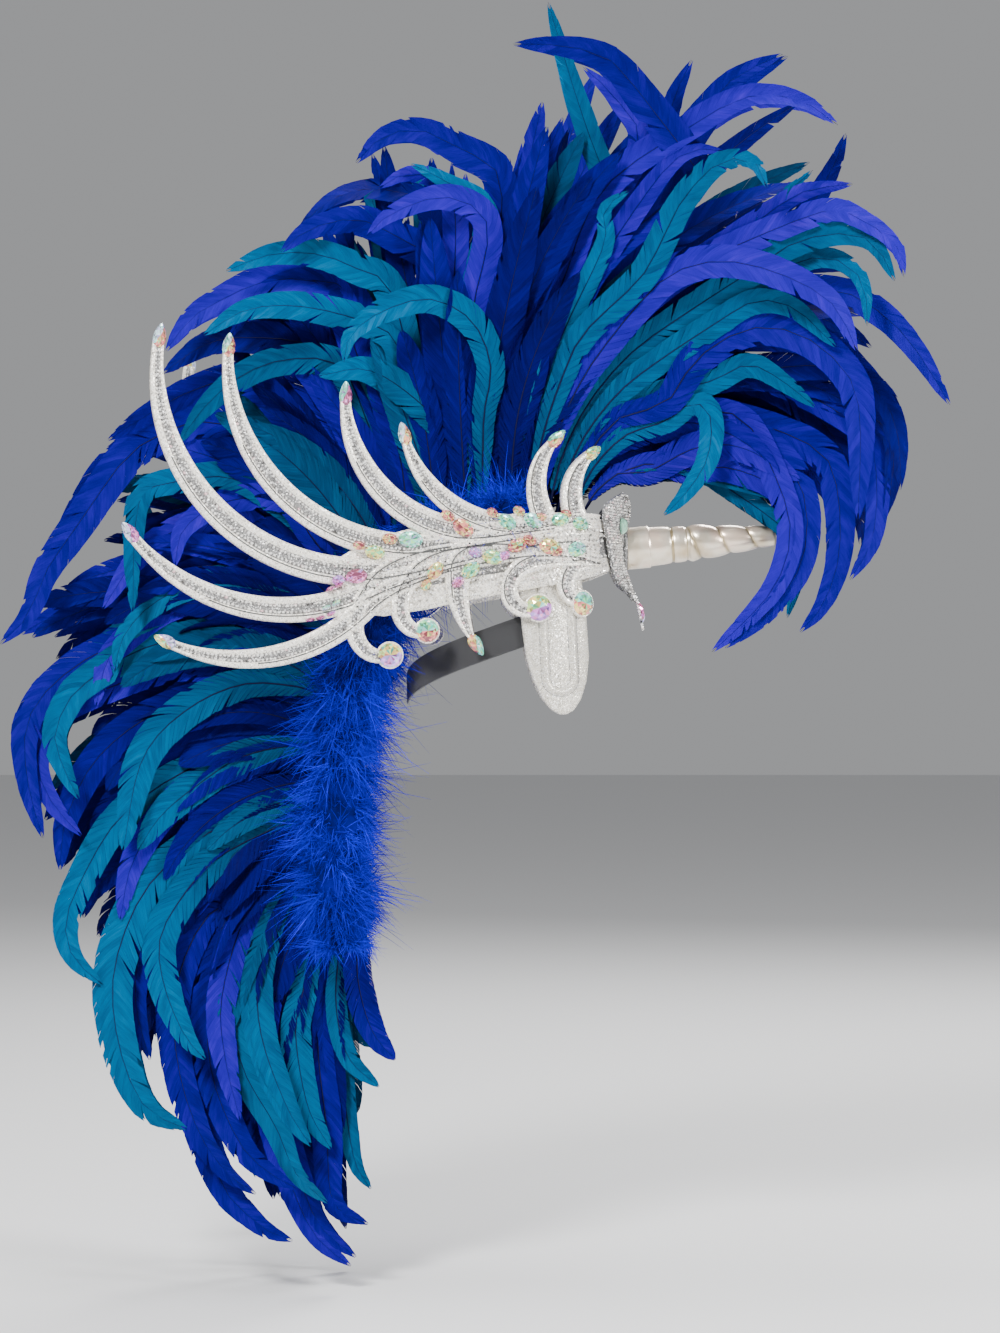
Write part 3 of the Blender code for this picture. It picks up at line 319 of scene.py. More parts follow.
# Feathers that show one by one in the photo.
# Columns: colour (B royal, V royal with a painted violet highlight, T turquoise, D royal in painted shade),
# breadth in photo pixels, depth from 0 in the middle to 1 nearest, and points in photo pixels from the tip
# towards the quill.
PHOTO_FEATHERS = (
    ("T", 26, 0.30, ((548, 2), (573, 88), (590, 140), (604, 196))),
    ("B", 35, 0.55, ((513, 44), (555, 46), (608, 60), (646, 105), (678, 147), (692, 182))),
    ("V", 26, 0.45, ((583, 67), (618, 102), (639, 151))),
    ("B", 30, 0.35, ((783, 54), (731, 81), (688, 130), (646, 158))),
    ("B", 30, 0.20, ((788, 56), (752, 76), (716, 106), (690, 140))),
    ("B", 30, 0.10, ((692, 60), (676, 92), (660, 130))),
    ("V", 28, 0.55, ((838, 125), (801, 102), (748, 98), (688, 130), (601, 193))),
    ("V", 24, 0.65, ((724, 151), (692, 151), (660, 176))),
    ("T", 28, 0.85, ((767, 188), (752, 161), (717, 165), (681, 203), (660, 245), (639, 281))),
    ("T", 22, 0.75, ((629, 191), (604, 210), (604, 245))),
    ("D", 28, 0.25, ((846, 133), (829, 175), (783, 238))),
    ("T", 20, 0.40, ((813, 170), (780, 200), (742, 246))),
    ("V", 26, 0.50, ((853, 184), (801, 193), (752, 226))),
    ("T", 28, 0.70, ((895, 281), (871, 242), (829, 235), (783, 249), (759, 267))),
    ("V", 28, 0.60, ((904, 277), (895, 245), (853, 217), (818, 214))),
    ("T", 24, 0.55, ((867, 326), (864, 288), (843, 263), (800, 262))),
    ("B", 30, 0.30, ((950, 405), (916, 351), (878, 312), (826, 290))),
    ("V", 32, 0.90, ((857, 351), (832, 305), (783, 277), (724, 263), (674, 274), (639, 305))),
    ("T", 26, 0.80, ((836, 347), (794, 309), (755, 302), (717, 323))),
    ("B", 34, 0.85, ((858, 520), (859, 421), (846, 375), (801, 337), (748, 330), (695, 361), (667, 403))),
    ("T", 26, 0.70, ((815, 407), (783, 382), (748, 365), (710, 382))),
    ("D", 30, 0.35, ((900, 490), (899, 445), (888, 407), (864, 382), (820, 366))),
    ("B", 30, 0.20, ((896, 420), (884, 396), (858, 368), (820, 342))),
    ("T", 24, 0.95, ((664, 515), (685, 494), (707, 459), (710, 417), (692, 403), (667, 421))),
    ("V", 30, 0.75, ((800, 480), (742, 448), (696, 448), (648, 472))),
    ("V", 28, 0.65, ((790, 571), (793, 523), (776, 488), (728, 468), (690, 470))),
    ("V", 26, 0.45, ((712, 652), (754, 612), (778, 580), (790, 536), (780, 490))),
    ("T", 20, 0.55, ((793, 592), (796, 566), (795, 539), (786, 500))),
    ("T", 18, 0.35, ((787, 618), (796, 580), (790, 536))),
    ("B", 30, 0.25, ((800, 632), (822, 606), (838, 560), (838, 500), (820, 452))),
    ("B", 30, 0.15, ((850, 580), (872, 540), (876, 480), (862, 430))),
    ("D", 28, 0.10, ((884, 520), (893, 470), (882, 424))),
    ("B", 26, 0.40, ((725, 648), (768, 612), (800, 566), (806, 510), (786, 462))),
    ("B", 32, 0.40, ((356, 163), (383, 137), (421, 131), (459, 150), (500, 179))),
    ("T", 26, 0.55, ((411, 164), (446, 182), (486, 214))),
    ("V", 26, 0.50, ((379, 188), (411, 174), (452, 196))),
    ("D", 30, 0.30, ((300, 226), (335, 198), (379, 190), (430, 210))),
    ("V", 28, 0.60, ((367, 236), (392, 214), (446, 198), (488, 226))),
    ("B", 32, 0.50, ((281, 252), (309, 230), (357, 220), (399, 239), (440, 268))),
    ("T", 30, 0.60, ((226, 271), (271, 255), (319, 255), (360, 271), (389, 287))),
    ("B", 28, 0.40, ((230, 338), (255, 300), (300, 282), (350, 292))),
    ("V", 32, 0.45, ((166, 351), (191, 319), (223, 300), (271, 281), (330, 290))),
    ("T", 30, 0.65, ((204, 335), (242, 312), (287, 306), (344, 316), (396, 340))),
    ("D", 34, 0.30, ((163, 373), (207, 344), (255, 338), (316, 350))),
    ("T", 28, 0.90, ((344, 362), (351, 335), (383, 312), (430, 300), (472, 322), (491, 367))),
    ("T", 30, 0.55, ((179, 443), (204, 408), (242, 376), (287, 360), (340, 366))),
    ("B", 32, 0.35, ((108, 440), (143, 418), (190, 392), (250, 380))),
    ("T", 30, 0.75, ((319, 376), (367, 370), (415, 399), (459, 446))),
    ("B", 34, 0.30, ((0, 644), (29, 615), (46, 572), (80, 523), (120, 466), (146, 443), (210, 420))),
    ("B", 28, 0.20, ((46, 572), (74, 516), (108, 466), (150, 436), (200, 424))),
    ("T", 28, 0.60, ((133, 612), (135, 538), (143, 495), (172, 483), (232, 478))),
    ("V", 26, 0.50, ((103, 609), (135, 561), (176, 530), (234, 516))),
    ("V", 26, 0.70, ((175, 566), (184, 529), (226, 502), (284, 500))),
    ("V", 28, 0.45, ((96, 706), (105, 667), (115, 650), (164, 610), (228, 592))),
    ("T", 28, 0.65, ((115, 670), (123, 638), (149, 607), (187, 587), (230, 578), (290, 580))),
    ("T", 30, 0.55, ((79, 799), (66, 773), (55, 736), (69, 701), (86, 683), (140, 650), (206, 634))),
    ("B", 30, 0.35, ((43, 838), (29, 787), (26, 730), (48, 690), (96, 654), (160, 632))),
    ("V", 28, 0.40, ((82, 836), (52, 802), (37, 759), (56, 716), (104, 690), (176, 668))),
    ("T", 34, 0.85, ((123, 850), (143, 759), (187, 710), (244, 684), (301, 687))),
    ("T", 32, 0.80, ((138, 850), (161, 816), (195, 787), (244, 756), (304, 744))),
    ("T", 26, 0.90, ((207, 850), (235, 825), (281, 802), (322, 796))),
    ("B", 32, 0.30, ((60, 870), (66, 820), (96, 760), (150, 716), (214, 694))),
    ("T", 30, 0.50, ((102, 984), (74, 958), (66, 924), (80, 884), (118, 820), (176, 776), (236, 752))),
    ("T", 38, 0.75, (
        (187, 1129), (148, 1109), (126, 1066), (114, 1004), (120, 949), (150, 884), (206, 834))),
    ("T", 32, 0.85, ((205, 1059), (185, 1035), (166, 989), (160, 942), (179, 902), (216, 859), (270, 830))),
    ("B", 32, 0.45, ((256, 1194), (228, 1173), (200, 1133), (179, 1066), (176, 990), (204, 920))),
    ("B", 32, 0.30, (
        (293, 1241), (265, 1229), (237, 1204), (222, 1183), (196, 1110), (190, 1020), (214, 940))),
    ("B", 30, 0.55, ((297, 1189), (262, 1167), (237, 1137), (212, 1070), (210, 990), (240, 916))),
    ("T", 32, 0.70, (
        (328, 1203), (296, 1173), (277, 1127), (243, 1066), (234, 1004), (240, 958), (270, 900))),
    ("T", 30, 0.90, ((311, 1146), (287, 1106), (262, 1035), (259, 973), (277, 912), (310, 866))),
    ("B", 28, 0.40, ((356, 1257), (323, 1229), (305, 1192), (282, 1110), (278, 1020), (300, 940))),
    ("V", 26, 0.35, ((351, 1266), (316, 1236), (290, 1180), (268, 1100), (266, 1010))),
    ("B", 30, 0.60, ((368, 1224), (333, 1201), (327, 1127), (318, 1040), (326, 960))),
    ("T", 28, 0.80, ((331, 1149), (308, 1106), (296, 1035), (302, 998), (318, 930))),
    ("T", 20, 0.65, ((379, 1087), (348, 1056), (336, 1000), (342, 930))),
    ("T", 20, 0.45, ((371, 1189), (354, 1158), (344, 1080), (344, 990))),
    ("B", 28, 0.50, ((395, 1060), (372, 1030), (358, 980), (356, 920))),
    ("V", 28, 0.70, ((240, 1120), (226, 1060), (222, 1000), (244, 920), (288, 850))),
    ("B", 30, 0.55, ((150, 1060), (136, 1000), (146, 930), (190, 860), (248, 806))),
    ("V", 28, 0.60, ((120, 920), (134, 860), (176, 800), (236, 762))),
)

# Outline of the crest in photo pixels, clockwise from the lower front
OUTLINE_PIXELS = (
    (715, 650), (800, 632), (850, 580), (895, 490), (880, 405), (940, 400), (900, 285), (850, 190),
    (835, 130), (775, 66), (692, 66), (600, 62), (548, 10), (540, 120), (500, 160), (430, 150),
    (383, 142), (356, 168), (305, 226), (286, 252), (232, 275), (170, 355), (114, 444), (52, 572),
    (6, 640), (32, 726), (49, 830), (66, 870), (72, 924), (108, 984), (120, 1004), (132, 1062),
    (154, 1103), (190, 1123), (230, 1166), (256, 1186), (296, 1233), (345, 1255), (352, 1220), (366, 1087),
    (374, 1060), (366, 1010), (370, 960), (396, 831), (376, 739), (400, 640), (620, 500), (770, 480),
    (780, 560),
)

# Curves
SWEEP_POINTS = 81
SMALLEST = 1e-9

# Feather build
FEATHER_STATIONS = 40
BARB_CLUMPS = 50
BARB_COLUMNS = (0.0, 0.36, 0.70, 1.0)
BARB_ANGLE = math.radians(36)
QUILL_BARE = 0.05
QUILL_RADIUS = 0.0010
QUILL_SIDES = 5
# Air that the horn stands in, seen from the side: lowest x, highest x, highest z.
HORN_AIR = (0.080, 0.222, 0.142)
# Air before the tail: lowest x, highest z.
TAIL_AIR = (-0.150, -0.25)
FILL_FEATHERS = 310
UNDER_FEATHERS = 110
# Columns: share along the feather, width share.
FEATHER_ROWS = (
    (0.00, 0.10),
    (0.08, 0.30),
    (0.20, 0.62),
    (0.38, 0.92),
    (0.58, 1.00),
    (0.78, 0.88),
    (0.90, 0.62),
    (0.97, 0.34),
    (1.00, 0.06),
)

# Marabou build
BOA_CORE_SHARE = 0.66
TUFTS_PER_SECTION = 420
STRANDS_PER_TUFT = 15
STRAND_LENGTH = 0.030
STRAND_WIDTH = 0.0009

# Rhinestones
PAVE_PITCH = 0.0036
PAVE_SIZE = 0.0031
PAVE_HEIGHT = 0.0015
DOUBLE_ROW_HALF = 0.0046

HANDS = (("right", -1), ("left", 1))
ACROSS = np.array((0.0, 1.0, 0.0))
UPWARD = np.array((0.0, 0.0, 1.0))


def make_camera():
    """The photo's own view, straight onto the wearer's right side."""
    data = bpy.data.cameras.new("camera")
    data.sensor_width = SENSOR
    data.lens = SENSOR * CAMERA_DISTANCE / (PHOTO_HEIGHT * PIXEL)
    made = bpy.data.objects.new("camera", data)
    made.location = (CAMERA_X, -CAMERA_DISTANCE, CAMERA_Z)
    made.rotation_euler = (math.pi / 2, 0.0, 0.0)
    bpy.context.scene.collection.objects.link(made)
    bpy.context.scene.camera = made


make_camera()


def seen(px, py, y=0.0):
    """The side-view spot at depth y that the camera sees at a photo pixel."""
    scale = PIXEL * (CAMERA_DISTANCE + y) / CAMERA_DISTANCE
    return complex(CAMERA_X + (px - PHOTO_WIDTH / 2) * scale, CAMERA_Z + (PHOTO_HEIGHT / 2 - py) * scale)


class Shape:
    """Points and faces that grow part by part into one mesh."""

    def __init__(self, name):
        self.name = name
        self.count = 0
        self.points = []
        self.uvs = []
        self.faces = []
        self.tones = []
        self.slots = []
        self.smooth = []

    def add(self, points, faces, uvs=None, tones=0.5, slot=0, smooth=True):
        """New points, and faces that number them from 0."""
        points = np.asarray(points, dtype=float).reshape(-1, 3)
        if uvs is None:
            uvs = np.zeros((len(points), 2))
        self.add_faces(faces, self.count, tones, slot, smooth)
        self.points.append(points)
        self.uvs.append(np.asarray(uvs, dtype=float).reshape(-1, 2))
        self.count += len(points)

    def add_faces(self, faces, base, tones, slot, smooth):
        """Faces with one number of corners, on points that are numbered from base on."""
        self.faces.append(np.asarray(faces, dtype=int) + base)
        self.tones.append(np.broadcast_to(np.asarray(tones, dtype=float), (len(faces),)))
        self.slots.append(np.full(len(faces), slot))
        self.smooth.append(np.full(len(faces), smooth))

    def tube(self, rings, uvs=None, tones=0.5, slot=0):
        """A skin through rings of points, closed by a flat face at each end."""
        rings = np.asarray(rings, dtype=float)
        tall, wide = rings.shape[:2]
        base = self.count
        here = np.arange(wide)
        after = (here + 1) % wide
        low = np.arange(tall - 1)[:, None] * wide
        high = low + wide
        faces = np.stack([low + here, low + after, high + after, high + here], axis=-1)
        self.add(rings, faces.reshape(-1, 4), uvs, tones, slot)
        self.add_faces([here[::-1], here + (tall - 1) * wide], base, np.mean(tones), slot, False)

    def build(self, materials, *nodes, slot=None):
        """The finished piece, which rides on the body and stands for the named nodes."""
        points = np.concatenate(self.points).astype(np.float32)
        corners = np.concatenate([part.ravel() for part in self.faces]).astype(np.int32)
        sizes = np.concatenate([np.full(len(part), part.shape[1]) for part in self.faces])
        starts = np.concatenate([[0], np.cumsum(sizes)[:-1]]).astype(np.int32)
        data = bpy.data.meshes.new(self.name)
        data.vertices.add(len(points))
        data.vertices.foreach_set("co", points.ravel())
        data.loops.add(len(corners))
        data.loops.foreach_set("vertex_index", corners)
        data.polygons.add(len(sizes))
        data.polygons.foreach_set("loop_start", starts)
        data.polygons.foreach_set("material_index", np.concatenate(self.slots).astype(np.int32))
        data.polygons.foreach_set("use_smooth", np.concatenate(self.smooth))
        flat = data.uv_layers.new(name="UVMap")
        flat.data.foreach_set("uv", np.concatenate(self.uvs)[corners].astype(np.float32).ravel())
        data.update(calc_edges=True)
        tone = data.attributes.new("tone", "FLOAT", "FACE")
        tone.data.foreach_set("value", np.concatenate(self.tones).astype(np.float32))
        for surface in materials:
            data.materials.append(surface)
        made = bpy.data.objects.new(self.name, data)
        bpy.context.scene.collection.objects.link(made)
        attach(made, "root")
        if nodes:
            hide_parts(*nodes)


# Curves. A plane curve in side view is a row of complex spots x + z*1j.
def smooth_path(points, per_span=12):
    """A smooth curve through points, given as rows of numbers or as complex spots."""
    rows = np.array(points)
    rows = np.concatenate([[2 * rows[0] - rows[1]], rows, [2 * rows[-1] - rows[-2]]])
    made = []
    for span in range(1, len(rows) - 2):
        before, first, second, after = rows[span - 1:span + 3]
        for t in np.linspace(0, 1, per_span, endpoint=False):
            made.append(0.5 * (2 * first + (second - before) * t
                               + (2 * before - 5 * first + 4 * second - after) * t ** 2
                               + (3 * first - before - 3 * second + after) * t ** 3))
    return np.array(made + [rows[-2]])


def sweep(root, tip, bend, tighten=1.0):
    """A plane curve from root to tip that turns by bend degrees, and its headings."""
    heading = math.radians(bend) * np.linspace(0, 1, SWEEP_POINTS) ** tighten
    move = np.exp(1j * heading)
    run = np.concatenate([[0], np.cumsum((move[1:] + move[:-1]) / 2)])
    factor = (tip - root) / run[-1]
    return root + run * factor, heading + cmath.phase(factor)


def run_along(line):
    """Length along a line at each of its points."""
    steps = np.diff(line, axis=0)
    sizes = np.abs(steps) if np.iscomplexobj(line) else np.linalg.norm(steps, axis=1)
    return np.concatenate([[0], np.cumsum(sizes)])


def read_curve(marks, run, line):
    """Spots of a plane curve at marks of its run."""
    return np.interp(marks, run, line.real) + 1j * np.interp(marks, run, line.imag)


def headings_of(line):
    """Heading of a plane curve at each of its points, without jumps."""
    return np.unwrap(np.angle(np.gradient(line)))


def even(line, count):
    """The same plane curve with evenly spaced points, and its length."""
    run = run_along(line)
    return read_curve(np.linspace(0, run[-1], count), run, line), run[-1]


def read_rows(rows, share, column=1):
    """A column of a table at one share or many."""
    table = np.array(rows)
    return np.interp(share, table[:, 0], table[:, column])


def unit(vectors):
    """The same directions with length 1."""
    return vectors / np.maximum(np.linalg.norm(vectors, axis=-1, keepdims=True), SMALLEST)


def in_space(spots, y=0.0):
    """Points in space from side-view spots and widths y."""
    return np.stack(np.broadcast_arrays(np.real(spots), y, np.imag(spots)), axis=-1)


def ring_turns(count):
    """Evenly spaced angles round a ring."""
    return np.linspace(0, 2 * math.pi, count, endpoint=False)


def circles(centers, first, second, radius, turns):
    """Rings of points round centers, each in the plane of its two directions."""
    first_part = first[..., None, :] * (radius * np.cos(turns))[..., None]
    return centers[..., None, :] + first_part + second[..., None, :] * (radius * np.sin(turns))[..., None]


# Side surface: one curve in plan that the tabs, wings and plate all follow
PLAN = smooth_path([(x * (PLATE_NOSE if x > 0 else WING_BACK), width * HEAD_HALF_WIDTH)
                    for x, width in SIDE_PLAN])
PLAN_SLOPE = np.gradient(PLAN, axis=0)
PLAN_NORMAL = unit(np.stack([PLAN_SLOPE[:, 1], -PLAN_SLOPE[:, 0]], axis=1))


def on_side(spot, offset, hand):
    """Points on the side surface above side-view spots, raised by offset."""
    spot = np.asarray(spot, dtype=complex)
    x = spot.real
    base_y = np.interp(x, PLAN[::-1, 0], PLAN[::-1, 1])
    normal_x = np.interp(x, PLAN[::-1, 0], PLAN_NORMAL[::-1, 0])
    normal_y = np.interp(x, PLAN[::-1, 0], PLAN_NORMAL[::-1, 1])
    return np.stack([x + normal_x * offset, hand * (base_y + normal_y * offset), spot.imag], axis=-1)


def side_normal(spot, hand):
    """The outward direction of the side surface at side-view spots."""
    return unit(on_side(spot, 1.0, hand) - on_side(spot, 0.0, hand))


def on_front(y, z, offset, lean):
    """Points on the front of the same surface, at widths y and levels z."""
    across = np.abs(y)
    base_x = np.interp(across, PLAN[:, 1], PLAN[:, 0])
    normal_x = np.interp(across, PLAN[:, 1], PLAN_NORMAL[:, 0])
    normal_y = np.interp(across, PLAN[:, 1], PLAN_NORMAL[:, 1])
    side = np.where(np.asarray(y) < 0, -1.0, 1.0)
    parts = (base_x + normal_x * offset + lean, side * (across + normal_y * offset), z)
    return np.stack(np.broadcast_arrays(*parts), axis=-1)


def wing_spot(x_share, z_share):
    """A side-view spot from wing shares."""
    return complex(x_share * WING_BACK, z_share * WING_TOP)


# Crest spine
SPINE = smooth_path([complex(x * SPINE_BACK, z * SPINE_DROP) for x, z in SPINE_ROWS])
SPINE_RUN = run_along(SPINE)
SPINE_SIGHT = 0.01
PAD_BASE = SPINE_HEIGHT / 2 + CLEARANCE
ROOT_RISE = PAD_BASE + PAD_HEIGHT * ROOT_DEPTH


def spine_spot(share):
    """Side-view spots on the spine's middle line."""
    return read_curve(np.asarray(share) * SPINE_RUN[-1], SPINE_RUN, SPINE)


def spine_out(share):
    """Side-view directions away from the head at shares of the spine."""
    after = spine_spot(np.minimum(share + SPINE_SIGHT, 1.0))
    before = spine_spot(np.maximum(share - SPINE_SIGHT, 0.0))
    travel = after - before
    return travel / np.abs(travel) * -1j


# Materials
def start_material(name):
    """A new material and its node tree."""
    made = bpy.data.materials.new(name)
    made.use_nodes = True
    return made, made.node_tree


def feed(tree, socket, value):
    """Give an input a number, a colour, a vector or another node's output."""
    if isinstance(value, bpy.types.NodeSocket):
        tree.links.new(value, socket)
    elif socket.type == "RGBA":
        socket.default_value = (*value, 1.0)
    else:
        socket.default_value = value


def put(tree, kind, inputs, **settings):
    """A node with its settings, and its inputs by name or number."""
    made = tree.nodes.new(kind)
    for name, value in settings.items():
        setattr(made, name, value)
    for name, value in inputs.items():
        feed(tree, made.inputs[name], value)
    return made


def dress(made, inputs):
    """Feed the inputs of a material's own shader."""
    shader = made.node_tree.nodes["Principled BSDF"]
    for name, value in inputs.items():
        feed(made.node_tree, shader.inputs[name], value)
    return made


def ramp(tree, source, stops):
    """A colour ramp with stops of position and linear colour."""
    made = put(tree, "ShaderNodeValToRGB", {"Fac": source})
    band = made.color_ramp
    for element, (position, color) in ((band.elements[0], stops[0]), (band.elements[-1], stops[-1])):
        element.position = position
        element.color = (*color, 1.0)
    for position, color in stops[1:-1]:
        band.elements.new(position).color = (*color, 1.0)
    return made.outputs["Color"]


def math_node(tree, operation, *values):
    """One Math node whose inputs are sockets or numbers."""
    return put(tree, "ShaderNodeMath", dict(enumerate(values)), operation=operation).outputs["Value"]


def weighed(tree, total, *parts):
    """A number plus node outputs, each times its weight."""
    for source, weight in parts:
        total = math_node(tree, "MULTIPLY_ADD", source, weight, total)
    return total


def vector_node(tree, operation, inputs):
    """One Vector Math node."""
    return put(tree, "ShaderNodeVectorMath", inputs, operation=operation).outputs["Vector"]


def mix_color(tree, factor, first, second, blend="MIX"):
    """Mix two colours, each a socket or a linear colour."""
    inputs = {0: factor, 6: first, 7: second}
    return put(tree, "ShaderNodeMix", inputs, data_type="RGBA", blend_type=blend).outputs[2]


def noise(tree, vector, scale, detail, roughness=0.5):
    """Soft noise between 0 and 1."""
    inputs = {"Vector": vector, "Scale": scale, "Detail": detail, "Roughness": roughness}
    return put(tree, "ShaderNodeTexNoise", inputs).outputs["Fac"]


def bump(tree, height, strength, distance):
    """Normals of small relief."""
    inputs = {"Height": height, "Strength": strength, "Distance": distance}
    return put(tree, "ShaderNodeBump", inputs).outputs["Normal"]


def split(tree, vector):
    """The X and Y of a vector or colour."""
    parts = put(tree, "ShaderNodeSeparateXYZ", {"Vector": vector}).outputs
    return parts["X"], parts["Y"]


def object_place(tree):
    """Places in the piece's own space."""
    return put(tree, "ShaderNodeTexCoord", {}).outputs["Object"]


def uv_place(tree):
    """Places along and across a feather or the strap."""
    return put(tree, "ShaderNodeUVMap", {}).outputs["UV"]


def tone_of(tree):
    """The piece's own tone, one number per face."""
    return put(tree, "ShaderNodeAttribute", {}, attribute_name="tone").outputs["Fac"]


def feather_material(name, stops, gloss):
    """Glossy barbs with fine streaks along each barb, and painted shade that darkens them towards the quill.
    """
    made, tree = start_material(name)
    along, across = split(tree, uv_place(tree))
    tone = tone_of(tree)

    def stripes(scales, detail, roughness):
        """Noise drawn out along the barbs, with its own pattern for each tone."""
        pairs = zip((along, across, tone), scales)
        parts = [math_node(tree, "MULTIPLY", part, scale) for part, scale in pairs]
        place = put(tree, "ShaderNodeCombineXYZ", dict(zip("XYZ", parts)))
        return noise(tree, place.outputs["Vector"], 1.0, detail, roughness)

    streak = stripes((1800.0, 1.6, 90.0), 3.0, 0.6)
    broad = stripes((60.0, 0.8, 33.0), 2.0, 0.5)
    value = weighed(tree, -0.20, (streak, 0.42), (broad, 0.40), (tone, 0.55))
    # Painted shade: near the quill the colour sinks towards the ramp's darkest stop.
    root_painted_shade = put(tree, "ShaderNodeMapRange", {
        "Value": along, "From Min": 0.0, "From Max": 0.20, "To Min": 0.42, "To Max": 0.0})
    color = mix_color(tree, root_painted_shade.outputs["Result"], ramp(tree, value, stops), stops[0][1])
    return dress(made, {
        "Base Color": color,
        "Normal": bump(tree, streak, 0.55, 0.0006),
        "Roughness": 0.46,
        "Specular IOR Level": 0.12,
        "Specular Tint": gloss})


def quill_material():
    """Dark quills with fine grain."""
    made, tree = start_material("feather_quill")
    grain = noise(tree, uv_place(tree), 90.0, 3.0)
    return dress(made, {
        "Base Color": ramp(tree, grain, ((0.3, (0.001, 0.001, 0.016)), (0.75, (0.003, 0.004, 0.05)))),
        "Roughness": 0.62,
        "Specular IOR Level": 0.15})


def marabou_material():
    """Soft bright blue down, with low tones painted as shade in its depths."""
    made, tree = start_material("marabou_down")
    cloud = noise(tree, object_place(tree), 42.0, 3.0)
    value = weighed(tree, 0.0, (tone_of(tree), 0.6), (cloud, 0.5))
    return dress(made, {
        "Base Color": ramp(tree, value, (
            (0.22, (0.000, 0.000, 0.07)),
            (0.50, (0.002, 0.000, 0.34)),
            (0.80, (0.008, 0.003, 0.74)))),
        "Roughness": 0.85,
        "Specular IOR Level": 0.12,
        "Sheen Weight": 0.35,
        "Sheen Tint": (0.0, 0.02, 1.0)})


def glitter_material(name, pale, dark, cells, tilt):
    """Silver glitter: small flakes at random angles, some bright and some dark."""
    made, tree = start_material(name)
    voronoi = put(tree, "ShaderNodeTexVoronoi", {"Vector": object_place(tree), "Scale": cells})
    flakes = voronoi.outputs["Color"]
    centered = vector_node(tree, "SUBTRACT", {0: flakes, 1: (0.5, 0.5, 0.5)})
    scaled = vector_node(tree, "SCALE", {0: centered, "Scale": tilt})
    facing = put(tree, "ShaderNodeNewGeometry", {}).outputs["Normal"]
    tilted = vector_node(tree, "NORMALIZE", {0: vector_node(tree, "ADD", {0: scaled, 1: facing})})
    chance, second_chance = split(tree, flakes)
    color = ramp(tree, chance, ((0.00, dark), (0.30, pale), (0.80, pale), (0.95, (1.0, 0.99, 0.97))))
    rough = put(tree, "ShaderNodeMapRange", {"Value": second_chance, "To Min": 0.18, "To Max": 0.55})
    return dress(made, {
        "Base Color": color,
        "Normal": tilted,
        "Roughness": rough.outputs["Result"],
        "Metallic": 0.35})


def stone_material(name, stops, metallic, roughness, coat, coat_roughness, painted_glint=None):
    """Cut stones: each facet's tone picks its colour and, with painted_glint, a painted brightness that dims
    some facets and lights others as glints.
    """
    made, tree = start_material(name)
    tone = tone_of(tree)
    color = ramp(tree, tone, stops)
    if painted_glint:
        # Painted glints and shade: a brightness from 0.3 to 1.6 for each facet, from its tone.
        facet = math_node(tree, "FRACT", math_node(tree, "MULTIPLY", tone, 41.0))
        color = mix_color(tree, 1.0, color, ramp(tree, facet, painted_glint), "MULTIPLY")
    return dress(made, {
        "Base Color": color,
        "Metallic": metallic,
        "Roughness": roughness,
        "Coat Weight": coat,
        "Coat Roughness": coat_roughness})


def horn_material():
    """Pearly silver foil with fine creases, and painted shade in its grooves."""
    made, tree = start_material("horn_pearl")
    crease = noise(tree, object_place(tree), 120.0, 4.0)
    cloud = noise(tree, object_place(tree), 36.0, 2.0)
    pearl = ramp(tree, cloud, (
        (0.30, (0.60, 0.47, 0.30)),
        (0.50, (0.88, 0.79, 0.64)),
        (0.70, (0.94, 0.72, 0.56))))
    # Painted shade: faces with tone 0, in the grooves, turn dark gold.
    return dress(made, {
        "Base Color": mix_color(tree, tone_of(tree), (0.46, 0.36, 0.20), pearl),
        "Normal": bump(tree, crease, 0.35, 0.0012),
        "Metallic": 0.70,
        "Roughness": 0.30,
        "Coat Weight": 0.4,
        "Coat Roughness": 0.08})


def plain_material(name, pale, dark, roughness, metallic, scale, depth):
    """A plain finish with fine grain."""
    made, tree = start_material(name)
    grain = noise(tree, object_place(tree), scale, 4.0)
    return dress(made, {
        "Base Color": ramp(tree, grain, ((0.35, dark), (0.65, pale))),
        "Normal": bump(tree, grain, 0.4, depth),
        "Roughness": roughness,
        "Metallic": metallic})


def elastic_material():
    """Black woven elastic with lengthwise ribs and cross threads."""
    made, tree = start_material("woven_elastic")
    along, across = split(tree, uv_place(tree))
    threads = math_node(tree, "SINE", math_node(tree, "MULTIPLY", along, 5200.0))
    ribs = math_node(tree, "SINE", math_node(tree, "MULTIPLY", across, 138.0))
    height = math_node(tree, "MULTIPLY", threads, ribs)
    # The colour follows the weave's height: painted shade in its low parts.
    value = weighed(tree, 0.5, (height, 0.5))
    return dress(made, {
        "Base Color": ramp(tree, value, ((0.2, (0.006, 0.006, 0.007)), (0.9, (0.026, 0.026, 0.030)))),
        "Normal": bump(tree, height, 0.6, 0.0003),
        "Roughness": 0.72,
        "Sheen Weight": 0.3})


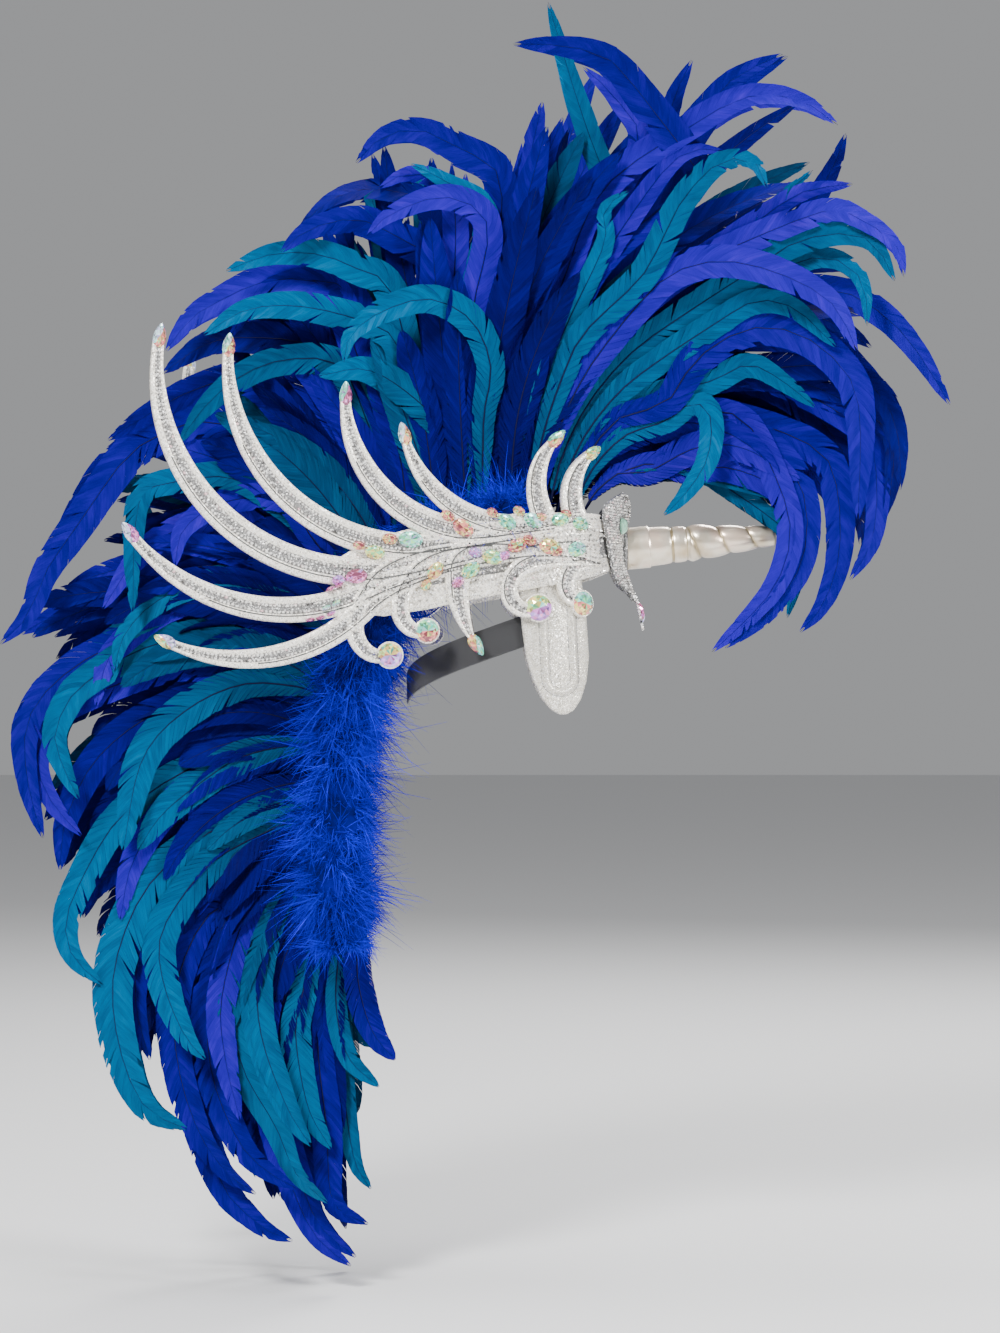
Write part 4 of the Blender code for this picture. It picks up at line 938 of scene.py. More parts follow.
# The feather ramps' low stops serve as painted shade and the royal ramp's violet top stop as a painted
# highlight; tones pick along them, partly at random.
ROYAL = feather_material("feather_royal", (
    (0.12, (0.002, 0.000, 0.045)),
    (0.42, (0.003, 0.000, 0.125)),
    (0.70, (0.014, 0.000, 0.270)),
    (0.95, (0.048, 0.008, 0.440))), (0.20, 0.16, 1.0))
TURQUOISE = feather_material("feather_turquoise", (
    (0.12, (0.000, 0.012, 0.040)),
    (0.42, (0.000, 0.040, 0.110)),
    (0.70, (0.000, 0.090, 0.210)),
    (0.95, (0.000, 0.175, 0.340))), (0.10, 0.60, 1.0))
QUILL = quill_material()
MARABOU = marabou_material()
FOAM = glitter_material("silver_glitter_foam", (0.99, 0.94, 0.84), (0.42, 0.39, 0.35), 900.0, 0.55)
TAB_FOAM = glitter_material("silver_fine_glitter", (0.70, 0.66, 0.57), (0.38, 0.36, 0.32), 1300.0, 0.40)
# Dark glitter for stone channels, the plate and the horn's seat, and as painted shadow beside the tab ridges
CHANNEL_AND_SHADOW = glitter_material("silver_channel_and_painted_shadow", (0.26, 0.255, 0.25), (0.08, 0.08, 0.08), 1100.0, 0.5)
# A dark sheet that paints the shadow lines on the wing's strips
SHADOW_LINE = plain_material("painted_shadow_line", (0.09, 0.09, 0.09), (0.04, 0.04, 0.04), 0.8, 0.0, 600.0, 0.0002)
CRYSTAL = stone_material("crystal", (
    (0.00, (0.03, 0.03, 0.03)),
    (0.16, (0.16, 0.15, 0.15)),
    (0.34, (0.55, 0.53, 0.50)),
    (0.62, (1.00, 0.99, 0.96)),
    (0.88, (1.00, 0.97, 0.90)),
    (0.96, (0.95, 0.62, 0.66))), 0.25, 0.12, 0.6, 0.03)
AURORA = stone_material("aurora_stone", (
    (0.00, (0.95, 0.22, 0.26)),
    (0.08, (0.96, 0.36, 0.22)),
    (0.17, (0.95, 0.80, 0.22)),
    (0.28, (0.30, 0.86, 0.36)),
    (0.36, (0.12, 0.76, 0.58)),
    (0.52, (0.72, 0.88, 0.95)),
    (0.72, (0.46, 0.34, 0.88)),
    (0.84, (0.76, 0.26, 0.80)),
    (1.00, (0.96, 0.26, 0.46))), 0.45, 0.10, 1.0, 0.02,
    painted_glint=((0.0, (0.30, 0.30, 0.32)), (0.35, (0.85, 0.85, 0.85)), (1.0, (1.6, 1.6, 1.6))))
MINT = stone_material("mint_stone", (
    (0.0, (0.16, 0.42, 0.28)),
    (0.6, (0.38, 0.72, 0.52)),
    (1.0, (0.70, 0.92, 0.78))), 0.0, 0.08, 1.0, 0.03)
HORN = horn_material()
DARK_FOAM = plain_material("dark_foam", (0.02, 0.02, 0.03), (0.01, 0.01, 0.014), 0.85, 0.0, 500.0, 0.0004)
WIRE = plain_material("brace_wire", (0.80, 0.80, 0.82), (0.62, 0.62, 0.64), 0.25, 1.0, 300.0, 0.0001)
ELASTIC = elastic_material()


# Feathers
STEM_SHARE = 0.72
STEM_POINTS = 5
PHOTO_SPAN_POINTS = 8
GUIDE_COUNT = 64
BASE_LAYER = 0.35
DEPTH_LAYERS = 1.55
PHOTO_WIDTH_SHARE = 1.12
# Material slot and tone of each colour in the photo table; V's high tone is a painted highlight and D's low
# tone painted shade on the royal material
LOOKS = {"B": (0, 0.46), "V": (0, 0.86), "T": (1, 0.62), "D": (0, 0.16)}
# Tones of royal fill feathers, mostly low as painted shade among the inner feathers
ROYAL_TONES = (0.02, 0.20, 0.40, 0.66)
INNER_LAYERS = 0.9
CURVE_TRIES = 25
TIP_PART = -16
VANE_END = 0.985
TORN_CHANCE = 0.03
TORN_CUT = 0.22
SPLIT_CHANCE = 0.06
SPLIT_CUT = 0.7
QUILL_SLOT = 2
QUILL_TAPER = 0.85
QUILL_STATIONS = 20
PAD_RINGS = 10
PAD_SIDES = 16
PAD_TONE = 0.1
SWEEP_POWER = 1.15
SPLIT_POWER = 1.5
# Spreads of what differs from feather to feather and from clump to clump
ROOT_TWIST = 0.22
TIP_TWIST = 0.45
CUP = 0.10
CUP_SPREAD = 0.08
EDGE_SPREAD = 0.018
WIDEST_GAP = 0.06
SHIFT_SPREAD = 0.00025
LAG_SPREAD = 0.012
CLUMP_TONE_SPREAD = 0.045
PHOTO_TONE_SPREAD = 0.05
PHOTO_TWIST = 0.7


def crest_value(share, column):
    """A column of the crest table at a share of the spine."""
    return float(read_rows(CREST_ROWS, share, column))


def crest_curve(share, reach_share=1.0, swing=0.0, curl=1.0):
    """Side-view line of a feather that follows the crest table, from quill to tip."""
    root = complex(spine_spot(share)) + complex(spine_out(share)) * ROOT_RISE
    reach = crest_value(share, 2) * CREST_REACH
    tip = cmath.rect(reach, math.radians(crest_value(share, 1) + swing))
    tip = root + (tip - root) * reach_share
    return sweep(root, tip, crest_value(share, 3) * curl, crest_value(share, 4))[0]


GUIDE_SHARES = np.linspace(FAN_BOUNDS[0], FAN_BOUNDS[-1], GUIDE_COUNT)
GUIDES = [crest_curve(share) for share in GUIDE_SHARES]
CREST_OUTLINE = np.array([seen(px, py) for px, py in OUTLINE_PIXELS])


def photo_curve(points):
    """Side-view line of a feather in the photo, rooted where the nearest crest line is."""
    marks = np.array([seen(px, py) for px, py in points])[::-1]
    gaps = [np.abs(guide - marks[0]) for guide in GUIDES]
    nearest = int(np.argmin([gap.min() for gap in gaps]))
    stop = int(np.argmin(gaps[nearest]))
    stem = GUIDES[nearest][np.linspace(0, stop * STEM_SHARE, STEM_POINTS).astype(int)]
    return GUIDE_SHARES[nearest], smooth_path(np.concatenate([stem, marks]), PHOTO_SPAN_POINTS)


def spread_out(line, share, layer, match_view):
    """Lay a side-view line out in space, bowing away from the middle plane."""
    line, length = even(line, FEATHER_STATIONS)
    along = np.linspace(0, 1, FEATHER_STATIONS)
    splay = crest_value(share, 5) * CREST_SPLAY * layer / 2
    y = ROOT_STEP * layer + splay * (along * length / CREST_REACH) ** SPLAY_POWER
    if match_view:
        middle = complex(CAMERA_X, CAMERA_Z)
        line = line + (line - middle) * (y / CAMERA_DISTANCE) * along ** 0.5
    return in_space(line, y), length


def add_feather(shape, line, length, width, slot, tone, rng, twist=1.0):
    """Vane of barb clumps on both sides of a tapering quill."""
    marks = np.linspace(0, 1, FEATHER_STATIONS)
    travel = unit(np.gradient(line, axis=0))
    flat_side = unit(np.cross(travel, ACROSS))
    turn = twist * (rng.normal(0, ROOT_TWIST) + rng.normal(0, TIP_TWIST) * marks ** 1.5)
    side = flat_side * np.cos(turn)[:, None] + np.cross(flat_side, travel) * np.sin(turn)[:, None]
    face = np.cross(side, travel)
    half = read_rows(FEATHER_ROWS, marks) * width / 2
    cup = rng.normal(CUP, CUP_SPREAD)

    def at(values, share):
        """Rows of values at shares of the feather."""
        return np.stack([np.interp(share, marks, values[:, axis]) for axis in range(3)], axis=-1)

    # Each clump keeps its root on the quill and sweeps forward to the vane's edge
    columns = np.array(BARB_COLUMNS)
    wide = len(columns)
    edges = np.linspace(QUILL_BARE, VANE_END, BARB_CLUMPS + 1)[:, None]
    start, end = edges[:-1], edges[1:]
    slant = np.interp(start, marks, half) / (length * math.tan(BARB_ANGLE))
    size = start.shape
    for hand in (-1.0, 1.0):
        ragged = 1 - np.abs(rng.normal(0, EDGE_SPREAD, size)) - TORN_CUT * (rng.random(size) < TORN_CHANCE)
        gap = rng.uniform(0.0, WIDEST_GAP, size) + SPLIT_CUT * (rng.random(size) < SPLIT_CHANCE)
        shift = rng.normal(0, SHIFT_SPREAD, size)
        lag = rng.normal(0, LAG_SPREAD, size)
        forward = slant * ragged * (1 + lag) * columns ** SWEEP_POWER
        first = np.minimum(start + forward, 1.0)
        second = np.minimum(end + forward - (end - start) * gap * columns ** SPLIT_POWER, 1.0)
        corners = []
        for stations in (first, second):
            reach = np.interp(stations, marks, half) * columns * ragged
            bow = (shift - cup * reach) * columns
            spot = at(line, stations) + at(side, stations) * (hand * reach)[..., None]
            corners.append(spot + at(face, stations) * bow[..., None])
        base = np.arange(BARB_CLUMPS)[:, None] * (2 * wide) + np.arange(wide - 1)
        faces = np.stack([base, base + 1, base + wide + 1, base + wide], axis=-1).reshape(-1, 4)
        along = np.stack([start, end], axis=1) * length
        place = np.stack(np.broadcast_arrays(along, columns * hand), axis=-1)
        clump_tones = np.clip(tone + rng.normal(0, CLUMP_TONE_SPREAD, BARB_CLUMPS), 0, 1)
        tones = np.repeat(clump_tones, wide - 1)
        shape.add(np.stack(corners, axis=1), faces, place, tones, slot)
    stations = np.linspace(0, 1, QUILL_STATIONS)
    radius = QUILL_RADIUS * (1 - QUILL_TAPER * stations[:, None])
    turns = ring_turns(QUILL_SIDES)
    rings = circles(at(line, stations), at(side, stations), at(face, stations), radius, turns)
    place = np.stack(np.broadcast_arrays(stations[:, None] * length, turns), axis=-1)
    shape.tube(rings, place, slot=QUILL_SLOT)


def inside(outline, spot):
    """Whether a closed outline goes round a spot."""
    aims = np.angle(np.roll(outline, -1) - spot) - np.angle(outline - spot)
    return abs(((aims + math.pi) % (2 * math.pi) - math.pi).sum()) > math.pi


def clear_curve(share, far, swing, curl, rng):
    """A random crest line clear of the horn and of the air before the tail, if one is found."""
    for _ in range(CURVE_TRIES):
        curve = crest_curve(share, rng.uniform(*far), rng.normal(0, swing), rng.uniform(*curl))
        near = (curve.real > HORN_AIR[0]) & (curve.real < HORN_AIR[1]) & (curve.imag < HORN_AIR[2])
        near |= (curve.real > TAIL_AIR[0]) & (curve.imag < TAIL_AIR[1])
        if not near.any() and inside(CREST_OUTLINE, curve[-1]) and inside(CREST_OUTLINE, curve[TIP_PART]):
            return curve
    return None


def fill_look(rng):
    """Material slot, tone and width share of a feather that fills the fans."""
    slot = int(rng.random() < 0.15)
    # Fill tones sit mostly low, painted shade among the inner feathers
    tone = rng.choice(ROYAL_TONES) if slot == 0 else rng.uniform(0.10, 0.55)
    return slot, tone, rng.uniform(0.75, 1.1)


def under_look(rng):
    """Material slot, tone and width share of a short feather at the fans' feet."""
    slot = int(rng.random() < 0.16)
    width_share = rng.uniform(0.9, 1.25)
    # Tones from 0 to 0.3 paint shade on these feathers low among the quills
    return slot, rng.uniform(0.0, 0.3), width_share


def fan_at(fans, share):
    """The fan that carries a quill at a share of the spine."""
    place = np.searchsorted(FAN_BOUNDS, share, side="right") - 1
    return fans[int(np.clip(place, 0, len(fans) - 1))]


def scatter(fans, count, look, rng, layers, inner_reach, outer_reach, swing, curl):
    """Random feathers along the whole spine, up to a number of layers off the middle plane."""
    for number in range(count):
        share = FAN_BOUNDS[0] + (1 - FAN_BOUNDS[0]) * (number + rng.random()) / count
        layer = rng.uniform(-layers, layers)
        far = inner_reach if abs(layer) < INNER_LAYERS else outer_reach
        curve = clear_curve(share, far, swing, curl, rng)
        if curve is None:
            continue
        line, length = spread_out(curve, share, layer, False)
        slot, tone, width_share = look(rng)
        add_feather(fan_at(fans, share), line, length, FEATHER_WIDTH * width_share, slot, tone, rng)


def quill_pad(shape, start, end):
    """Oblong pad on the spine that holds a fan's quills."""
    turns = ring_turns(PAD_SIDES)
    across, rise = (np.sign(part) * np.abs(part) ** 0.5 for part in (np.cos(turns), np.sin(turns)))
    rings = []
    for share in np.linspace(start, end, PAD_RINGS):
        height = PAD_BASE + PAD_HEIGHT / 2 * (1 + rise)
        rings.append(in_space(spine_spot(share) + spine_out(share) * height, PAD_WIDTH / 2 * across))
    shape.tube(rings, tones=PAD_TONE)


def feather_crest():
    """Every feather, gathered by the fan that carries its quill."""
    rng = np.random.default_rng(11)
    fans = [Shape("feathers_%d" % number) for number in range(1, len(FAN_BOUNDS))]
    for hand in (-1, 1):
        for color, breadth, depth, points in PHOTO_FEATHERS:
            share, curve = photo_curve(points)
            line, length = spread_out(curve, share, hand * (BASE_LAYER + DEPTH_LAYERS * depth), True)
            slot, tone = LOOKS[color]
            width = breadth * PIXEL * PHOTO_WIDTH_SHARE
            tone += rng.normal(0, PHOTO_TONE_SPREAD)
            add_feather(fan_at(fans, share), line, length, width, slot, tone, rng, PHOTO_TWIST)
    scatter(fans, FILL_FEATHERS, fill_look, rng, layers=1.7, inner_reach=(0.74, 0.98),
            outer_reach=(0.50, 0.74), swing=5.0, curl=(0.75, 1.2))
    scatter(fans, UNDER_FEATHERS, under_look, rng, layers=1.9, inner_reach=(0.34, 0.58),
            outer_reach=(0.34, 0.58), swing=7.0, curl=(0.6, 1.1))
    for number, shape in enumerate(fans, 1):
        quill_pad(shape, FAN_BOUNDS[number - 1], FAN_BOUNDS[number])
        shape.build((ROYAL, TURQUOISE, QUILL), "feather_fan_%d" % number, slot="feather")


# Marabou
CORE_RINGS = 30
CORE_SIDES = 20
CORE_PINCH = 0.12
CORE_END = 0.45
CORE_RISE = 1.21
# The core's low tone is painted shade deep inside the down
CORE_TONE = 0.05
END_MARGIN = 0.006
TUFT_DEPTH = 0.50
TUFT_WAVE = 61.0
TAIL_START = 0.90
TAIL_TAPER = 5.5
STRAND_DROOP = 0.22
CORE_LUMPS = (0.86, 1.12)
TUFT_LEAN = 0.25
TUFT_LEAN_SPREAD = 0.5
TUFT_SPREAD = 0.28
TUFT_TONES = (0.15, 0.95)
TUFT_SIZES = (0.6, 1.2)
TUFT_WAVE_DEPTH = 0.28
TUFT_WAVE_PHASE = 2.1
STRAND_SIZES = (0.55, 1.15)
STRAND_ROOT_SPREAD = 0.0022
STRAND_SPREAD = 0.24
STRAND_SWAY = 0.35
STRAND_TONE_SPREAD = 0.12
# Columns: share along a strand, width share
STRAND_ROWS = (
    (0.00, 1.00),
    (0.36, 0.85),
    (0.70, 0.55),
    (1.00, 0.12),
)


def boa_radius(share):
    """Radius of the boa at shares of the spine."""
    fullness = np.clip((share - BOA_SWELL_START) / BOA_SWELL_SPAN, 0, 1)
    return BOA_TOP_RADIUS + (BOA_BACK_RADIUS - BOA_TOP_RADIUS) * fullness


def boa_middle(share, hand):
    """Points on a boa's middle line, and the directions there away from the head."""
    out = spine_out(share)
    y = hand * (PAD_WIDTH / 2 + CLEARANCE + boa_radius(share))
    return in_space(spine_spot(share) + out * (PAD_BASE + PAD_HEIGHT / 2), y), in_space(out)


def boa(side, hand, section, start, end, rng):
    """Down core with tufts of fine curved strands."""
    shape = Shape("marabou_%s_%d" % (side, section))
    across = hand * ACROSS
    shares = np.linspace(start, end, CORE_RINGS)
    centers, outward = boa_middle(shares, hand)
    lumps = rng.uniform(*CORE_LUMPS, (CORE_RINGS, CORE_SIDES))
    arch = np.sin(np.linspace(CORE_PINCH, math.pi - CORE_PINCH, CORE_RINGS))
    pinch = np.minimum(1.0, CORE_END + CORE_RISE * arch)
    size = boa_radius(shares)[:, None] * BOA_CORE_SHARE * lumps * pinch[:, None]
    rings = circles(centers, -across, outward, size, ring_turns(CORE_SIDES))
    shape.tube(rings, tones=CORE_TONE)

    count = TUFTS_PER_SECTION
    share = rng.uniform(start + END_MARGIN, end - END_MARGIN, count)
    turn = rng.uniform(0, 2 * math.pi, count)
    base, out = boa_middle(share, hand)
    along = in_space(spine_out(share) * 1j)
    radial = out * np.sin(turn)[:, None] - across * np.cos(turn)[:, None]
    base = base + radial * (boa_radius(share) * TUFT_DEPTH)[:, None]
    lean = along * rng.normal(TUFT_LEAN, TUFT_LEAN_SPREAD, count)[:, None]
    aim = unit(radial + lean + rng.normal(0, TUFT_SPREAD, (count, 3)))
    tuft_tone = rng.uniform(*TUFT_TONES, count)
    wave = 1 + TUFT_WAVE_DEPTH * np.sin(share * TUFT_WAVE + TUFT_WAVE_PHASE * hand)
    tail = 1 - TAIL_TAPER * np.maximum(0.0, share - TAIL_START)
    fullness = (boa_radius(share) / BOA_BACK_RADIUS) ** 1.5
    tuft_length = STRAND_LENGTH * rng.uniform(*TUFT_SIZES, count) * wave * tail * fullness

    strands = STRANDS_PER_TUFT
    total = count * strands
    base = np.repeat(base, strands, axis=0) + rng.normal(0, STRAND_ROOT_SPREAD, (total, 3))
    aim = unit(np.repeat(aim, strands, axis=0) + rng.normal(0, STRAND_SPREAD, (total, 3)))
    length = np.repeat(tuft_length, strands) * rng.uniform(*STRAND_SIZES, total)
    sway = rng.normal(0, STRAND_SWAY, (total, 3)) - UPWARD * STRAND_DROOP
    width_way = unit(np.cross(aim, rng.normal(0, 1, (total, 3))))
    points = []
    for mark, width_share in STRAND_ROWS:
        spot = base + aim * (length * mark)[:, None] + sway * (length * mark ** 2)[:, None]
        edge = width_way * (STRAND_WIDTH / 2 * width_share)
        points += [spot - edge, spot + edge]
    steps = len(STRAND_ROWS) - 1
    first = np.arange(total)[:, None] * len(points)
    faces = np.concatenate([first + np.array((0, 1, 3, 2)) + 2 * step for step in range(steps)])
    tones = np.clip(np.repeat(tuft_tone, strands) + rng.normal(0, STRAND_TONE_SPREAD, total), 0, 1)
    shape.add(np.stack(points, axis=1), faces, tones=np.tile(tones, steps))
    shape.build((MARABOU,), "boa_%s_%d" % (side, section), slot="marabou")


# Wings
# Cross section of a foam strip.
# Columns: share of the half width, share of the height.
STRIP_SECTION = (
    (-1.00, 0.00),
    (-1.00, 0.62),
    (-0.95, 0.86),
    (-0.86, 0.98),
    (-0.70, 1.00),
    (-0.46, 1.00),
    (-0.34, 0.86),
    (0.44, 0.86),
    (0.54, 1.00),
    (0.72, 1.00),
    (0.86, 0.98),
    (0.95, 0.86),
    (1.00, 0.62),
    (1.00, 0.00),
)
CHANNEL_FLOOR = 0.86
CHANNEL_MIDDLE = 0.05
CHANNEL_HALF = 0.40
CHANNEL_START = 0.55
LINE_PLACE = -0.50
LINE_WIDTH = 0.0011
LINE_END = 0.80
LINE_RISE = 0.0011
LINE_OVER = 0.00012
CHANNEL_OVER = 0.0001
BODY_SINK = 0.0008
# Share of each strip's run along the body that stays without its painted shadow line, spikes first
SHADOW_LINE_STARTS = (0.10, 0.42, 0.30, 0.20, 0.50, 0.25, 0.0, 0.0, 0.62, 0.55, 0.40, 0.20, 0.0)
STRIP_STATIONS = 80
LEAD_STATIONS = 30
LEAD_THIN = 0.30
LEAD_POWER = 0.9
LEAD_OVERHANG = 0.03
LEAVE_PULL = 0.9
LEAVE_TURN = 0.05
ARRIVE_PULL = 0.75
STRIP_STEP = 0.0003
STRIP_LOW_STEP = 0.0001
SCROLL_END_GAP = 0.006
SPIKE_END_GAP = 0.010
# Places of the two stone rows in a channel, as shares of the half width
STONE_ROW_PLACES = (-0.20, 0.30)
DOUBLE_STONE_SHARE = 0.50
SINGLE_STONE_SHARE = 0.74
STONE_SIZES = (0.9, 1.08)
WING_TOP_FACE = WING_OUTER + WING_RELIEF
FIELD_BASE = WING_TOP_FACE + 0.0006
BALL_STATIONS = 40
FIELD_ROWS = 5
FIELD_ROW_SPAN = 5.6
FIELD_END = 0.03
FIELD_SHIFT = 0.0065
FIELD_PITCH = 0.0135
FIELD_FILL = 0.70
FIELD_SIZES = (0.0019, 0.0029)
FIELD_TURNS = 0.35
# Length and width of the main stones and of their partners, as shares of the diameter
MAIN_SHAPE = (1.25, 0.86)
PARTNER_SHAPE = (0.80, 0.58)
PARTNER_REACH = 1.06
PARTNER_TURNS = 0.3
MAIN_CONTRAST = 0.06
PARTNER_CONTRAST = 0.08
# Rim of a scroll's ball.
# Columns: share of the radius, height over the side surface.
BALL_ROWS = (
    (1.02, WING_INNER),
    (1.04, WING_OUTER - 0.0006),
    (1.00, WING_OUTER + 0.0006),
    (0.94, WING_OUTER + 0.0008),
    (0.88, WING_OUTER + 0.0002),
    (0.80, WING_OUTER),
)

# Two tints of each stone on a spike tip or a scroll end
SPIKE_TINTS = (
    (0.52, 0.06), (0.45, 0.03), (0.40, 0.97), (0.50, 0.10),
    (0.55, 0.90), (0.17, 0.60), (0.34, 0.08), (0.26, 0.16),
)
SCROLL_TINTS = ((0.18, 0.74), (0.34, 0.02), (0.34, 0.10), (0.20, 0.82), (0.35, 0.07))

# Small pointed stones near the roots of the two lowest spikes.
# Columns: photo pixels across and down, turn in degrees, tint.
NAVETTES = (
    (326, 588, 28, 0.96),
    (335, 584, 30, 0.98),
    (346, 577, 34, 0.80),
    (355, 571, 38, 0.74),
    (306, 619, 12, 0.98),
    (316, 617, 18, 0.96),
    (327, 613, 26, 0.82),
    (322, 607, 30, 0.34),
    (332, 602, 36, 0.30),
)
NAVETTE_LENGTH = 0.0088
NAVETTE_WIDTH = 0.0040
NAVETTE_CORNERS = 12
NAVETTE_CONTRAST = 0.14

# Cut of a large stone.
# Columns: share of the outline, share of the height, whether its corners lie between those of the outline.
STONE_RINGS = (
    (1.00, 0.00, False),
    (1.00, 0.22, False),
    (0.80, 0.66, True),
    (0.52, 1.00, False),
)
GLINT = 0.16
GLINT_CHANCE = 0.22
LEAN_SLOPE = 1.4
FACET_TONE_SPREAD = 0.055
# Tones of small stones and the chances of each kind
SMALL_TABLE = 0.54
SMALL_TILT = 0.06
DIM_CHANCE = 0.24
DIM_TONES = (0.22, 0.42)
BRIGHT_TONES = (0.52, 0.90)
BLACK_CHANCE = 0.035
BLACK_TONE = 0.05
PINK_CHANCE = 0.03
PINK_TONE = 0.96
SHADE_CHANCE = 0.42
SHADE_TONE = 0.22
SMALL_TONE_SPREAD = 0.07

Strip = namedtuple("Strip", "root tip bend tighten width ball front rows")
SPIKE_STRIPS = [
    Strip(wing_spot(*row[0:2]), wing_spot(*row[2:4]), row[4], 1.0, row[5], 0.0, row[6], SPIKE_ROWS)
    for row in SPIKES
]
SCROLL_STRIPS = [
    Strip(wing_spot(*row[0:2]), wing_spot(*row[2:4]), *row[4:9], SCROLL_ROWS)
    for row in SCROLLS
]
BODY_LINE = sweep(wing_spot(*BODY_ENDS[0]), wing_spot(*BODY_ENDS[1]), BODY_BEND)[0]
BODY_HEADINGS = headings_of(BODY_LINE)
BODY_SHARES = np.linspace(0, 1, SWEEP_POINTS)
BODY_HALF = read_rows(BODY_ROWS, BODY_SHARES) * WING_BODY_WIDTH / 2


def raised_band(shape, line, side, half_width, low, high, hand, slot):
    """A thin flat band on the side surface along a line."""
    rows = []
    for share, height in ((-1, low), (-1, high), (1, high), (1, low)):
        rows.append(on_side(line + side * half_width * share, height, hand))
    shape.tube(np.stack(rows, axis=1), slot=slot)


def foam_strip(shape, line, half, low, high, hand, flip=1.0, lead=0, shadow_line_start=0.0):
    """A raised strip with rounded margins, a stone channel and a thin dark band that paints a shadow line.
    """
    side = 1j * np.exp(1j * headings_of(line)) * flip
    rows = []
    for share, height in STRIP_SECTION:
        rows.append(on_side(line + side * half * share, low + (high - low) * height, hand))
    shape.tube(np.stack(rows, axis=1))
    cut = slice(int(lead * CHANNEL_START), len(line))
    floor_high = low + (high - low) * CHANNEL_FLOOR + CHANNEL_OVER
    middle = line + side * half * CHANNEL_MIDDLE
    raised_band(shape, middle[cut], side[cut], (half * CHANNEL_HALF)[cut], low, floor_high, hand, 2)
    # A thin dark band over the strip paints its shadow line.
    cut = slice(int(lead * shadow_line_start), int(len(line) * LINE_END))
    rise = np.where(np.arange(len(line)) < lead, WING_TOP_FACE + LINE_RISE, high + LINE_OVER)
    middle = line + side * half * LINE_PLACE
    raised_band(shape, middle[cut], side[cut], LINE_WIDTH / 2, low, rise[cut], hand, 1)


def cut_stone(shape, center, up, normal, outline, height, tints, rng):
    """A stone with star and kite facets between girdle, middle and table."""
    side = unit(np.cross(normal, up))
    up = np.cross(side, normal)
    middle = outline.mean()
    between = (outline + np.roll(outline, -1)) / 2
    rings = []
    for scale, level, is_between in STONE_RINGS:
        spots = middle + ((between if is_between else outline) - middle) * scale
        flat = center + up * spots.real[:, None] + side * spots.imag[:, None]
        rings.append(flat + normal * height * level)
    count = len(outline)
    here = np.arange(count)
    after = (here + 1) % count
    girdle, crown, waist, table = (number * count for number in range(4))
    hub = np.full(count, 4 * count)
    lean = (outline.real - middle.real) + LEAN_SLOPE * (outline.imag - middle.imag)

    def tones(glint):
        """Tones of one ring of facets."""
        own = np.where(lean > 0, *tints)
        own = own + rng.normal(0, FACET_TONE_SPREAD, count)
        return np.clip(own + glint * (rng.random(count) < GLINT_CHANCE), 0, 1)

    base = shape.count
    walls = np.stack([here + girdle, after + girdle, after + crown, here + crown], axis=-1)
    points = np.concatenate([*rings, rings[-1].mean(axis=0)[None]])
    shape.add(points, walls, tones=tones(0.0), smooth=False)
    for glint, corners in (
            (0.0, (here + crown, after + crown, here + waist)),
            (GLINT, (after + crown, after + waist, here + waist)),
            (0.0, (here + waist, after + waist, after + table)),
            (GLINT, (here + waist, after + table, here + table)),
            (GLINT, (here + table, after + table, hub))):
        shape.add_faces(np.stack(corners, axis=-1), base, tones(glint), 0, False)


def round_outline(length, width, corners=14):
    """Oval girdle of a stone, its long way along the real axis."""
    turns = 2 * math.pi * (np.arange(corners) + 0.5) / corners
    return length / 2 * np.cos(turns) + 1j * width / 2 * np.sin(turns)


def drop_outline(length, width, corners=16):
    """Teardrop girdle of a stone, its point ahead on the real axis."""
    turns = ring_turns(corners)
    pull = (0.5 + 0.5 * np.cos(turns)) ** 2
    half = width / 2 * np.sin(turns) * (1.06 - 0.5 * pull)
    return length * (0.42 * np.cos(turns) + 0.16 * pull) + 1j * half


def rhinestones(shape, centers, normals, sizes, heights, rng, slot=0, corners=8):
    """Many small stones, each with a table and a ring of facets."""
    count = len(centers)
    if not count:
        return
    helper = np.where(np.abs(normals[:, 2:3]) > 0.9, np.array((1.0, 0.0, 0.0)), UPWARD)
    first = unit(np.cross(normals, helper))
    second = np.cross(normals, first)
    spin = rng.uniform(0, math.pi, count)
    turns = ring_turns(corners) + spin[:, None]
    axis = unit(normals + rng.normal(0, SMALL_TILT, (count, 3)))
    rings = []
    for scale, level in ((1.0, 0.0), (SMALL_TABLE, 1.0)):
        middles = centers + axis * (heights * level)[:, None]
        rings.append(circles(middles, first, second, (sizes / 2 * scale)[:, None], turns))
    here = np.arange(corners)
    after = (here + 1) % corners
    walls = np.stack([here, after, after + corners, here + corners], axis=-1)
    starts = np.arange(count)[:, None] * (2 * corners)
    chance = rng.random(count)
    dim, bright = rng.uniform(*DIM_TONES, count), rng.uniform(*BRIGHT_TONES, count)
    own = np.where(chance < DIM_CHANCE, dim, bright)
    own = np.where(chance < BLACK_CHANCE, BLACK_TONE, own)
    own = np.where(chance > 1 - PINK_CHANCE, PINK_TONE, own)
    tones = own[:, None] + rng.normal(0, SMALL_TONE_SPREAD, (count, corners))
    tones = np.clip(np.where(rng.random(tones.shape) < SHADE_CHANCE, SHADE_TONE, tones), 0, 1)
    base = shape.count
    faces = (walls + starts[:, None]).reshape(-1, 4)
    shape.add(np.concatenate(rings, axis=1), faces, tones=tones.ravel(), slot=slot, smooth=False)
    shape.add_faces(here + corners + starts, base, own, slot, False)


